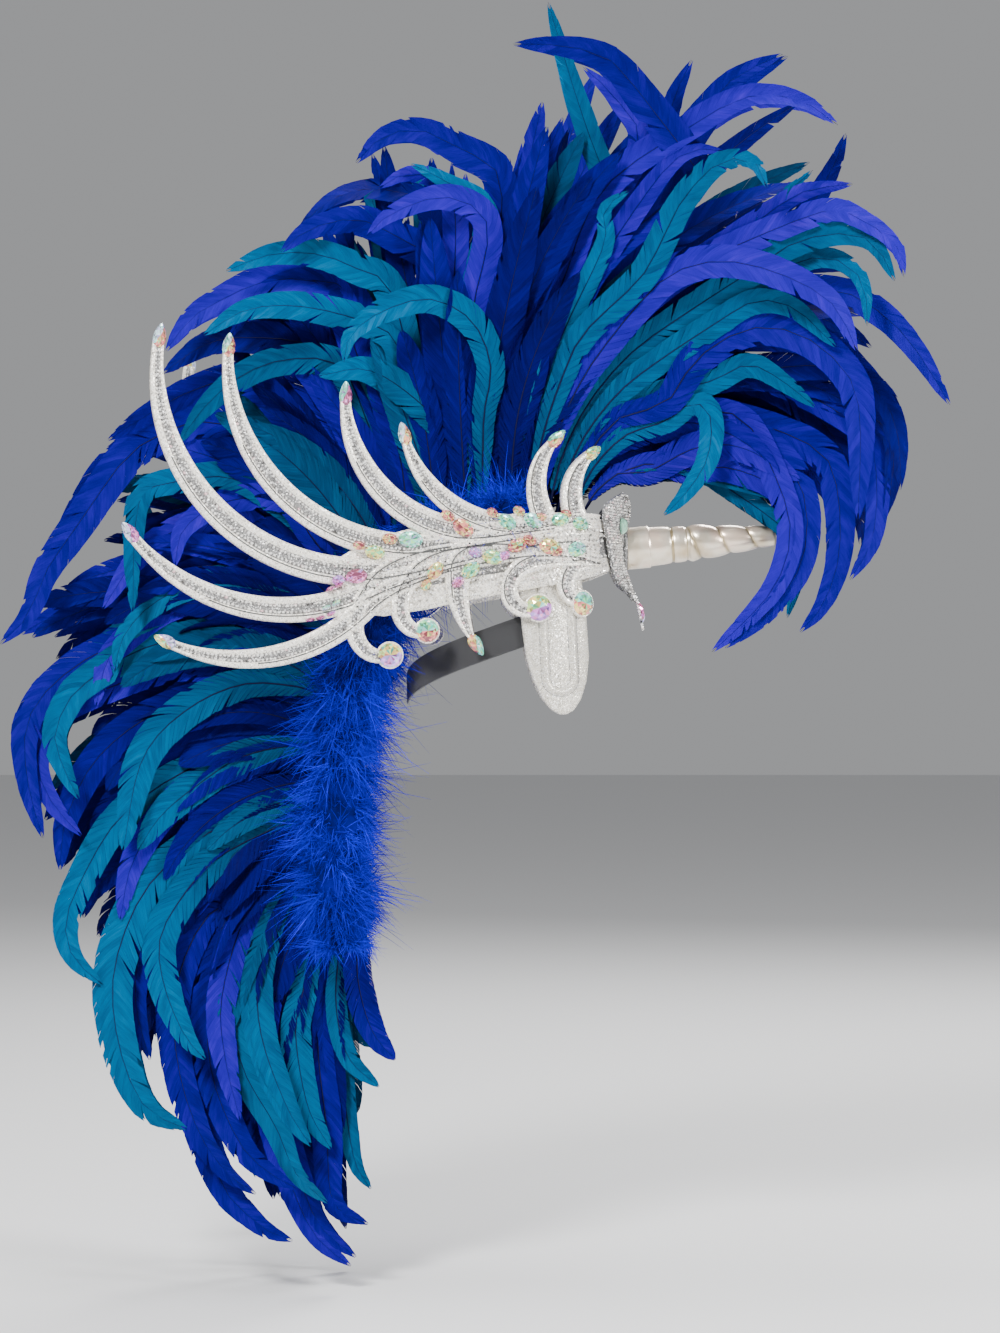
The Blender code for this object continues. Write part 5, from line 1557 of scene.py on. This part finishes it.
def converging(root, heading, front_height):
    """A strip's run along the body, from the wing's front end to the strip's root."""
    front = wing_spot(BODY_ENDS[0][0] - LEAD_OVERHANG, front_height)
    reach = abs(root - front)
    along = np.linspace(0, 1, LEAD_STATIONS)
    leave = cmath.rect(reach * LEAVE_PULL, math.pi - LEAVE_TURN)
    arrive = cmath.rect(reach * ARRIVE_PULL, heading)
    return ((2 * along ** 3 - 3 * along ** 2 + 1) * front + (along ** 3 - 2 * along ** 2 + along) * leave
            + (-2 * along ** 3 + 3 * along ** 2) * root + (along ** 3 - along ** 2) * arrive)


def strip_plan(strip):
    """Middle line, half widths, length and stations before the root of a spike or scroll."""
    line, headings = sweep(strip.root, strip.tip, strip.bend, strip.tighten)
    shares = np.linspace(0, 1, len(line))
    half = read_rows(strip.rows, shares) * strip.width * WING_BODY_WIDTH / 2
    if strip.rows is SCROLL_ROWS and not strip.ball:
        half = half * (1 - DROP_SCROLL_TAPER * shares ** 2)
    own_length = run_along(line)[-1]
    if strip.front:
        lead = converging(line[0], headings[0], strip.front)[:-1]
        lead_half = np.linspace(LEAD_THIN, 1.0, len(lead)) ** LEAD_POWER * half[0]
        line = np.concatenate([lead, line])
        half = np.concatenate([lead_half, half])
    run = run_along(line)
    marks = np.linspace(0, run[-1], STRIP_STATIONS)
    lead_count = int(STRIP_STATIONS * (1 - own_length / run[-1]))
    return read_curve(marks, run, line), np.interp(marks, run, half), run[-1], lead_count


def channel_stones(shape, line, half, length, end_gap, floor, flip, hand, rng):
    """Rows of rhinestones in a strip's channel: two where it is wide, and one where it is narrow."""
    stops = np.arange(PAVE_PITCH, length - end_gap, PAVE_PITCH) / length
    marks = np.linspace(0, 1, len(line))
    middle = read_curve(stops, marks, line)
    across = 1j * np.exp(1j * np.interp(stops, marks, headings_of(line))) * flip
    widths = np.interp(stops, marks, half)
    wide = widths > DOUBLE_ROW_HALF
    for row_place in STONE_ROW_PLACES:
        keep = wide | (row_place < 0)
        spots = (middle + across * widths * np.where(wide, row_place, CHANNEL_MIDDLE))[keep]
        sizes = np.minimum(PAVE_SIZE, widths * np.where(wide, DOUBLE_STONE_SHARE, SINGLE_STONE_SHARE))[keep]
        sizes = sizes * rng.uniform(*STONE_SIZES, len(sizes))
        heights = np.full(len(sizes), PAVE_HEIGHT)
        rhinestones(shape, on_side(spots, floor, hand), side_normal(spots, hand), sizes, heights, rng)


def wing(side, hand):
    """Layered foam wing with painted shadow lines, rhinestone rows and stones on its ends."""
    rng = np.random.default_rng(40 + hand)
    foam = Shape("wing_foam_" + side)
    pave = Shape("wing_rhinestones_" + side)
    foam_strip(foam, BODY_LINE, BODY_HALF, WING_INNER, WING_OUTER - BODY_SINK, hand)
    for number, strip in enumerate(SPIKE_STRIPS + SCROLL_STRIPS):
        line, half, length, lead = strip_plan(strip)
        low = WING_INNER + STRIP_LOW_STEP * (number % 3)
        high = WING_TOP_FACE + STRIP_STEP * (number % 4)
        flip = -1.0 if strip.bend < 0 else 1.0
        foam_strip(foam, line, half, low, high, hand, flip, lead, SHADOW_LINE_STARTS[number])
        end_gap = SCROLL_END_GAP if strip.rows is SCROLL_ROWS else SPIKE_END_GAP
        floor = WING_INNER + (high - WING_INNER) * CHANNEL_FLOOR
        channel_stones(pave, line, half, length, end_gap, floor, flip, hand, rng)
        if strip.ball:
            ball_rim(foam, strip.tip, strip.ball * WING_BODY_WIDTH / 2, hand)
    foam.build((FOAM, SHADOW_LINE, CHANNEL_AND_SHADOW), "wing_" + side, slot="silver_foam")
    pave.build((CRYSTAL,), slot="pave")
    end_stones("spike", side, hand, SPIKE_STRIPS, SPIKE_TINTS, rng)
    end_stones("scroll", side, hand, SCROLL_STRIPS, SCROLL_TINTS, rng)
    stone_field(side, hand, rng)


def ball_rim(shape, spot, radius, hand):
    """Round foam end of a scroll with a raised rim."""
    normal = side_normal(spot, hand)
    flat = unit(np.array((-normal[1], normal[0], 0.0)))
    middle = on_side(spot, 0.0, hand)
    turns = ring_turns(BALL_STATIONS)
    shape.tube([circles(middle + normal * height, flat, UPWARD, radius * share, turns)
                for share, height in BALL_ROWS])


def end_stones(kind, side, hand, strips, tints, rng):
    """Teardrops on the spike tips and the plain scroll, and round stones in the scrolls' balls."""
    shape = Shape("%s_stones_%s" % (kind, side))
    for strip, pair in zip(strips, tints):
        headings = sweep(strip.root, strip.tip, strip.bend, strip.tighten)[1]
        outline = drop_outline(SPIKE_STONE_LENGTH, SPIKE_STONE_WIDTH)
        if strip.ball:
            size = strip.ball * WING_BODY_WIDTH - 2 * BALL_MARGIN
            outline = round_outline(size, size)
        set_stone(shape, strip.tip, headings[-1], outline, pair, hand, rng)
    nodes = ["%s_stone_%s_%d" % (kind, side, number) for number in range(1, len(strips) + 1)]
    shape.build((AURORA,), *nodes, slot="aurora_stone")


def set_stone(shape, spot, heading, outline, tints, hand, rng, offset=WING_OUTER + CLEARANCE):
    """A cut stone on the side surface, its long way along a side-view heading."""
    base = on_side(spot, offset, hand)
    ahead = on_side(spot + cmath.rect(0.002, heading), offset, hand)
    cut_stone(shape, base, unit(ahead - base), side_normal(spot, hand), outline, STONE_HEIGHT, tints, rng)


def stone_field(side, hand, rng):
    """Main stones of the wing's body, each with a partner, and small stones between them."""
    field = Shape("stone_field_dressed_" + side)
    for x_share, z_share, size, first, second in FIELD_STONES:
        spot = wing_spot(x_share, z_share)
        diameter = size * STONE_HEIGHT
        heading = math.pi + rng.normal(0, FIELD_TURNS)
        outline = round_outline(*(diameter * share for share in MAIN_SHAPE))
        set_stone(field, spot, heading, outline, (first, first + MAIN_CONTRAST), hand, rng, FIELD_BASE)
        partner = spot + cmath.rect(diameter * PARTNER_REACH, heading + rng.normal(0, PARTNER_TURNS))
        outline = round_outline(*(diameter * share for share in PARTNER_SHAPE))
        pair = (second, max(0.0, second - PARTNER_CONTRAST))
        set_stone(field, partner, heading, outline, pair, hand, rng, FIELD_BASE)
    for px, py, turn, tone in NAVETTES:
        spot = seen(px, py, -PLAN[-1, 1])
        outline = round_outline(NAVETTE_LENGTH, NAVETTE_WIDTH, NAVETTE_CORNERS)
        pair = (tone, min(1.0, tone + NAVETTE_CONTRAST))
        set_stone(field, spot, math.radians(turn), outline, pair, hand, rng, FIELD_BASE)
    spots = []
    for row in range(-FIELD_ROWS, FIELD_ROWS + 1):
        for along in np.arange(FIELD_END + FIELD_SHIFT * (row % 2), 1 - FIELD_END, FIELD_PITCH):
            middle = complex(read_curve(along, BODY_SHARES, BODY_LINE))
            half = float(np.interp(along, BODY_SHARES, BODY_HALF))
            across = 1j * cmath.exp(1j * float(np.interp(along, BODY_SHARES, BODY_HEADINGS)))
            if rng.random() < FIELD_FILL:
                spots.append(middle + across * half * row / FIELD_ROW_SPAN)
    spots = np.array(spots)
    sizes = rng.uniform(*FIELD_SIZES, len(spots))
    heights = np.full(len(spots), PAVE_HEIGHT)
    centers = on_side(spots, WING_TOP_FACE, hand)
    rhinestones(field, centers, side_normal(spots, hand), sizes, heights, rng, slot=1)
    field.build((AURORA, CRYSTAL), "stone_field_" + side, slot="pave")


# Temple tabs
TAB_HEIGHT = TAB_TOP + TAB_BOTTOM
TAB_RINGS = 110
TAB_COLUMNS = 57
TAB_ROUND = 0.0022
TAB_EDGE = 0.0006
END_ROUND = 0.7
TAB_END_CROWD = 1.3
RIDGE_POINTS = 160
RIM_HALF = 0.0005
RIM_GAP = 0.0001
RIM_SINK = 0.0006
RIM_OVER = 0.00015


def tab_center(level):
    """Side-view spots on a tab's middle line, from its top at level 0 to its bottom at level 1."""
    return TAB_CENTER + TAB_LEAN * level + 1j * (TAB_TOP - TAB_HEIGHT * level)


def ridge_path():
    """Side-view line of the U-shaped ridge."""
    base = complex(tab_center(RIDGE_LEVEL))
    legs = [complex(base.real - RIDGE_HALF_SPAN - RIDGE_LEAN, TAB_TOP)]
    legs += [base + cmath.rect(RIDGE_HALF_SPAN, math.radians(turn)) for turn in range(180, 361, 10)]
    legs.append(complex(base.real + RIDGE_HALF_SPAN - RIDGE_LEAN, TAB_TOP))
    return np.array(legs)


def side_tab(side, hand):
    """Rounded tongue with a raised U-shaped ridge between two thin dark bands that paint its shadow."""
    shape = Shape("temple_tab_" + side)
    shares = np.concatenate([[-1.0], np.linspace(-1, 1, TAB_COLUMNS), [1.0]])
    path = even(ridge_path(), RIDGE_POINTS)[0]
    rings = []
    for level in 1 - np.linspace(1, 0, TAB_RINGS) ** TAB_END_CROWD:
        half = TAB_HALF_WIDTH * float(read_rows(TAB_ROWS, level))
        spots = tab_center(level) + half * shares
        gap = np.abs(spots[:, None] - path[None]).min(axis=1)
        ridge = RIDGE_HEIGHT * np.clip(1 - (gap / RIDGE_WIDTH * 2) ** 2, 0, 1)
        edge = np.minimum((1 - np.abs(shares)) * half, (1 - level) * TAB_HEIGHT * END_ROUND)
        rounding = np.sqrt(np.clip(1 - (1 - np.clip(edge / TAB_ROUND, 0, 1)) ** 2, 0, 1))
        height = TAB_EDGE + (TAB_OUTER - TAB_EDGE) * rounding + ridge
        height[0] = height[-1] = 0.0
        rings.append(on_side(spots, height, hand))
    shape.tube(rings)
    way = 1j * np.exp(1j * headings_of(path))
    # Thin dark bands on both sides of the ridge paint its shadow.
    for place in (-1, 1):
        line = path + way * place * (RIDGE_WIDTH / 2 + RIM_GAP)
        raised_band(shape, line, way, RIM_HALF, TAB_OUTER - RIM_SINK, TAB_OUTER + RIM_OVER, hand, 1)
    shape.build((TAB_FOAM, CHANNEL_AND_SHADOW), "side_tab_" + side, slot="silver_foam")


# Strap
STRAP_RIBS = 37
RIB_LOW = 0.50
RIB_RISE = 0.18
STRAP_EDGE = 0.9
STRAP_THIN = 0.55
STRAP_SIDE_POINTS = 6
STRAP_ARC_POINTS = 40
STRAP_LEVEL_POINTS = 3


def elastic_strap():
    """Flat ribbed elastic from tab to tab round the back of the head."""
    half_width = float(on_side(complex(STRAP_START, 0), -LAYER_CLEARANCE - STRAP_THICKNESS / 2, 1)[1])
    bend_start = STRAP_START - STRAP_STRAIGHT
    half = [(x, half_width) for x in np.linspace(STRAP_START, bend_start, STRAP_SIDE_POINTS)[:-1]]
    for turn in np.radians(np.linspace(0, 90, STRAP_ARC_POINTS)):
        half.append((bend_start - (STRAP_BACK + bend_start) * math.sin(turn), half_width * math.cos(turn)))
    plan = np.array([(x, -y) for x, y in half] + half[-2::-1])
    run = run_along(plan)
    middle = run[-1] / 2
    sink = (STRAP_END_HEIGHT + STRAP_BACK_DROP) * (1 - np.abs(run - middle) / middle)
    path = np.column_stack([plan, STRAP_END_HEIGHT - sink])
    travel = np.gradient(path, axis=0)
    travel[:STRAP_LEVEL_POINTS, 1] = 0.0
    travel[-STRAP_LEVEL_POINTS:, 1] = 0.0
    level = unit(travel * (1.0, 1.0, 0.0))
    outward = np.cross(level, UPWARD)
    upward = unit(np.cross(unit(travel), outward))
    shares = np.linspace(-1, 1, STRAP_RIBS)
    ribs = RIB_LOW + RIB_RISE * (np.arange(STRAP_RIBS) % 2)
    shares, heights = np.append(shares, shares[::-1]), np.append(ribs, -ribs[::-1])
    thin = 1 - STRAP_THIN * np.maximum(0.0, (np.abs(shares) - STRAP_EDGE) / (1 - STRAP_EDGE))
    rings = (path[:, None] + upward[:, None] * (STRAP_WIDTH / 2 * shares)[:, None]
             + outward[:, None] * (STRAP_THICKNESS * heights * thin)[:, None])
    shape = Shape("woven_strap")
    shape.tube(rings, np.stack(np.broadcast_arrays(run[:, None], shares), axis=-1))
    shape.build((ELASTIC,), "elastic_strap", slot="elastic")


# Forehead plate and its stones
PLATE_TABLE = np.array(PLATE_ROWS)
PLATE_CURVE = smooth_path(PLATE_TABLE, 10)
PLATE_COLUMNS = 45
PLATE_MARGIN = 0.0018
PLATE_EDGE_DROP = 0.0009
PLATE_PITCH = 0.00285
PLATE_ROW_STEP = 0.88
PLATE_STONE_MARGIN = 0.0012
PLATE_STONE_SINK = 0.0003
PLATE_STONE_SIZES = (0.0024, 0.0030)
PLATE_STONE_HEIGHTS = (0.0012, 0.0018)
RIM_STONE_SIZE = 0.0029
RIM_STONE_HEIGHT = 0.0020
RECESS_HALF_HEIGHT = 0.0125
RECESS_HALF_WIDTH = 0.0085
SEAT_MARGIN = 0.0026
SEAT_RIM = 0.0015
SEAT_SIDES = 48
RIM_STONES = 26
DROP_HEART = 0.66
DROP_RIM = 0.90
PLATE_FIRST_ROW = 0.002
MINT_LIFT = 0.0004
# Horn's seat.
# Columns: depth behind its face, how much less its radius is.
SEAT_ROWS = ((SEAT_RISE + 0.0018, 0.0), (0.0006, 0.0), (0.0, 0.0006))


def plate_level(level):
    """Height of a level of the plate, from its bottom at 0 to its top at 1."""
    return PLATE_BOTTOM + (PLATE_TOP - PLATE_BOTTOM) * level


def plate_half(z):
    """Half width of the plate at heights z."""
    return np.interp(z, plate_level(PLATE_CURVE[:, 0]), PLATE_CURVE[:, 1]) * PLATE_HALF_WIDTH


def plate_lean(z, y):
    """Forward lean of the plate, most in its middle."""
    middle = np.interp(z, plate_level(PLATE_TABLE[:, 0]), PLATE_TABLE[:, 2]) * PLATE_LEAN
    return middle * np.maximum(0.0, 1 - (np.abs(y) / (LEAN_REACH * PLATE_HALF_WIDTH)) ** 2)


def on_plate(y, z, offset):
    """Points of the leaning plate at widths y and heights z."""
    return on_front(y, z, offset, plate_lean(z, y))


def horn_seat_x():
    """How far in front the face of the horn's seat is."""
    return float(on_plate(0.0, HORN_HEIGHT, PLATE_OUTER)[0]) + SEAT_RISE


def is_bare(y, z):
    """Whether a spot of the plate is left free for an oval stone or for the horn's seat."""
    recess = ((z - PLATE_STONE_LEVEL) / RECESS_HALF_HEIGHT) ** 2
    recess += ((abs(y) - PLATE_STONE_SIDE) / RECESS_HALF_WIDTH) ** 2
    return recess < 1 or y ** 2 + (z - HORN_HEIGHT) ** 2 < (HORN_BASE / 2 + SEAT_MARGIN) ** 2


def forehead_plate(rng):
    """Curved shield paved with rhinestones, with a bare recess round each oval stone."""
    shape = Shape("brow_shield")
    shares = np.concatenate([[-1.0], np.linspace(-1, 1, PLATE_COLUMNS), [1.0]])
    rings = []
    for z in plate_level(np.concatenate([np.linspace(0, 0.9, 50), np.linspace(0.91, 1.0, 14)])):
        edge = (1 - np.abs(shares)) * plate_half(z)
        offsets = PLATE_OUTER - PLATE_EDGE_DROP * np.clip(1 - edge / PLATE_MARGIN, 0, 1)
        y = shares * plate_half(z)
        rings.append(np.concatenate([on_plate(y, z, offsets), on_plate(y[::-1], z, PLATE_INNER)]))
    shape.tube(rings)
    centers, normals = [], []
    lowest, highest = PLATE_BOTTOM + PLATE_FIRST_ROW, PLATE_TOP - PLATE_STONE_MARGIN
    levels = np.arange(lowest, highest, PLATE_PITCH * PLATE_ROW_STEP)
    for number, z in enumerate(levels):
        half = float(plate_half(z)) - PLATE_STONE_MARGIN
        for y in np.arange(-half, half + 1e-6, PLATE_PITCH) + PLATE_PITCH / 2 * (number % 2):
            if abs(y) > half or is_bare(y, z):
                continue
            lean = plate_lean(z, y)
            centers.append(on_front(y, z, PLATE_OUTER - PLATE_STONE_SINK, lean))
            normals.append(unit(on_front(y, z, 0.02, lean) - on_front(y, z, 0.0, lean)))
    sizes = rng.uniform(*PLATE_STONE_SIZES, len(centers))
    heights = rng.uniform(*PLATE_STONE_HEIGHTS, len(centers))
    rhinestones(shape, np.array(centers), np.array(normals), sizes, heights, rng, slot=1)
    radius = HORN_BASE / 2 + SEAT_RIM
    face = horn_seat_x()
    rings = []
    for depth, less in SEAT_ROWS:
        middle = np.array((face - depth, 0.0, HORN_HEIGHT))
        rings.append(circles(middle, ACROSS, UPWARD, radius - less, ring_turns(SEAT_SIDES)))
    shape.tube(rings)
    shape.build((CHANNEL_AND_SHADOW, CRYSTAL), "forehead_plate", slot="pave")


def plate_stones(rng):
    """Two oval mint stones in the plate's recesses and the drop at its lower point."""
    for side, hand in HANDS:
        y = hand * PLATE_STONE_SIDE
        base = on_plate(y, PLATE_STONE_LEVEL, PLATE_OUTER + MINT_LIFT)
        normal = unit(base - on_plate(y, PLATE_STONE_LEVEL, PLATE_INNER))
        outline = round_outline(PLATE_STONE_LENGTH, PLATE_STONE_WIDTH)
        shape = Shape("mint_stone_" + side)
        cut_stone(shape, base, UPWARD, normal, outline, STONE_HEIGHT, (0.35, 0.62), rng)
        shape.build((MINT,), "plate_stone_" + side, slot="aurora_stone")
    top = on_plate(0.0, plate_level(DROP_LEVEL), PLATE_OUTER)
    down = unit(on_plate(0.0, PLATE_BOTTOM, PLATE_OUTER) - top)
    normal = unit(np.cross(ACROSS, down))
    normal = normal * np.sign(normal[0])
    base = top + down * DROP_HANG + normal * CLEARANCE
    outline = drop_outline(DROP_LENGTH, DROP_WIDTH)
    shape = Shape("brow_drop")
    cut_stone(shape, base, down, normal, outline * DROP_HEART, STONE_HEIGHT, (0.55, 0.97), rng)
    side = unit(np.cross(normal, down))
    rim = np.append(outline, outline[0])
    spots = even(rim, RIM_STONES + 1)[0][:-1] * DROP_RIM
    centers = base + down * spots.real[:, None] + side * spots.imag[:, None]
    normals = np.broadcast_to(normal, centers.shape)
    sizes, heights = np.full(RIM_STONES, RIM_STONE_SIZE), np.full(RIM_STONES, RIM_STONE_HEIGHT)
    rhinestones(shape, centers, normals, sizes, heights, rng, slot=1)
    shape.build((AURORA, CRYSTAL), "forehead_drop", slot="aurora_stone")


# Horn.
# Columns: share along the horn, radius as a share of the base radius.
HORN_ROWS = (
    (0.000, 1.00),
    (0.148, 0.99),
    (0.152, 0.93),
    (0.240, 0.90),
    (0.285, 0.86),
    (0.300, 0.79),
    (0.315, 0.85),
    (0.350, 0.86),
    (0.385, 0.83),
    (0.400, 0.76),
    (0.420, 0.80),
    (1.000, 0.42),
)
# Middles of the two grooves beside the ring, and their half width
RING_GROOVES = (0.299, 0.400)
GROOVE_HALF = 0.0075
SPIRAL_START = 0.40
SPIRAL_TURNS = 3.1
SPIRAL_PHASE = 0.25
SPIRAL_SWELL = 0.32
SPIRAL_SINK = 0.17
SPIRAL_EASE = 0.04
SPIRAL_FADE = 0.35
GROOVE_SHARE = 0.11
STRAIGHT_FOOT = 0.15
TIP_START = 0.985
HORN_SIDES = 56


def horn():
    """Spiral horn: plain cuff, ring, then twisted swellings to a blunt tip."""
    base = np.array((horn_seat_x() + CLEARANCE, 0.0, HORN_HEIGHT))
    tilt = math.radians(HORN_TILT)
    axis = np.array((math.cos(tilt), 0.0, math.sin(tilt)))
    turns = ring_turns(HORN_SIDES)
    tip_length = 1 - TIP_START
    tip_shares = 1 - tip_length * (1 - np.linspace(0, 1, 8)[1:]) ** 2
    rings, tones = [], []
    for share in np.concatenate([np.linspace(0, 0.42, 70), np.linspace(0.424, TIP_START, 120), tip_shares]):
        lift = tilt * min(1.0, share / STRAIGHT_FOOT)
        upward = np.array((-math.sin(lift), 0.0, math.cos(lift)))
        radius = HORN_BASE / 2 * float(read_rows(HORN_ROWS, share))
        swell = 0.0
        # Tone 0 in the grooves beside the ring and between the spiral swellings is painted shade.
        in_groove = any(abs(share - middle) < GROOVE_HALF for middle in RING_GROOVES)
        tone = np.full(HORN_SIDES, 0.0 if in_groove else 1.0)
        if share > SPIRAL_START:
            turned = (share - SPIRAL_START) / (1 - SPIRAL_START) * SPIRAL_TURNS
            saw = (turned - turns / (2 * math.pi) + SPIRAL_PHASE) % 1.0
            swell = SPIRAL_SWELL * np.sqrt(np.clip(1 - (2 * saw - 1) ** 2, 0, 1)) - SPIRAL_SINK
            swell *= min(1.0, (share - SPIRAL_START) / SPIRAL_EASE) * (1 - SPIRAL_FADE * share)
            tone = np.clip(np.minimum(saw, 1 - saw) / GROOVE_SHARE, 0, 1)
        tones.append(tone)
        if share > TIP_START:
            radius *= math.sqrt(max(0.02, 1 - ((share - TIP_START) / tip_length) ** 2))
        size = radius * (1 + swell)
        rings.append(circles(base + axis * HORN_LENGTH * share, ACROSS, upward, size, turns))
    shape = Shape("spiral_horn")
    shape.tube(rings, tones=np.array(tones)[:-1].ravel())
    shape.build((HORN,), "horn", slot="horn_silver")


# Stage
FLOOR_GAP = 0.004
FLOOR_SIZE = 14.0
SURROUND_STRENGTH = 0.42
# Columns: name, place, size, power
LIGHTS = (
    ("key", (-1.3, -2.3, 1.9), 0.8, 165.0),
    ("front", (2.2, -1.5, 1.0), 0.8, 90.0),
    ("back", (0.8, 2.4, 1.8), 1.2, 80.0),
    ("top", (0.0, 0.0, 2.6), 1.0, 45.0),
)


def area_light(name, place, size, power):
    """A soft round light that faces the middle of the headdress."""
    data = bpy.data.lights.new(name, "AREA")
    data.shape = "DISK"
    data.size = size
    data.energy = power
    made = bpy.data.objects.new(name, data)
    made.location = place
    made.rotation_euler = (-Vector(place)).to_track_quat("-Z", "Y").to_euler()
    bpy.context.scene.collection.objects.link(made)


def stage():
    """Plain pale floor, soft lights and a pale surround."""
    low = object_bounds()[0].z - FLOOR_GAP
    corners = [(x * FLOOR_SIZE, y * FLOOR_SIZE, low) for x, y in ((-1, -1), (1, -1), (1, 1), (-1, 1))]
    data = bpy.data.meshes.new("floor")
    data.from_pydata(corners, [], [(0, 1, 2, 3)])
    floor = bpy.data.objects.new("floor", data)
    surface, _ = start_material("floor")
    data.materials.append(dress(surface, {"Base Color": (0.74, 0.74, 0.745), "Roughness": 0.9}))
    bpy.context.scene.collection.objects.link(floor)
    floor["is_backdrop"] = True
    world = bpy.data.worlds.new("surround")
    world.use_nodes = True
    background = world.node_tree.nodes["Background"]
    background.inputs["Color"].default_value = (0.80, 0.81, 0.83, 1.0)
    background.inputs["Strength"].default_value = SURROUND_STRENGTH
    bpy.context.scene.world = world
    for light in LIGHTS:
        area_light(*light)


feather_crest()
boa_rng = np.random.default_rng(23)
for side_name, side_hand in HANDS:
    for section, (section_start, section_end) in enumerate(BOA_SECTIONS, 1):
        boa(side_name, side_hand, section, section_start, section_end, boa_rng)
    wing(side_name, side_hand)
    side_tab(side_name, side_hand)
elastic_strap()
plate_rng = np.random.default_rng(31)
forehead_plate(plate_rng)
plate_stones(plate_rng)
horn()

# Plain solids keep their form and take a finish
PLAIN_NODES = {
    "crown_band": DARK_FOAM,
    "crest_saddle": DARK_FOAM,
    "crest_spine": DARK_FOAM,
    "rear_brace_right": WIRE,
    "rear_brace_left": WIRE,
}
for node_name, surface in PLAIN_NODES.items():
    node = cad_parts[node_name]
    node.data.materials.clear()
    node.data.materials.append(surface)
stage()
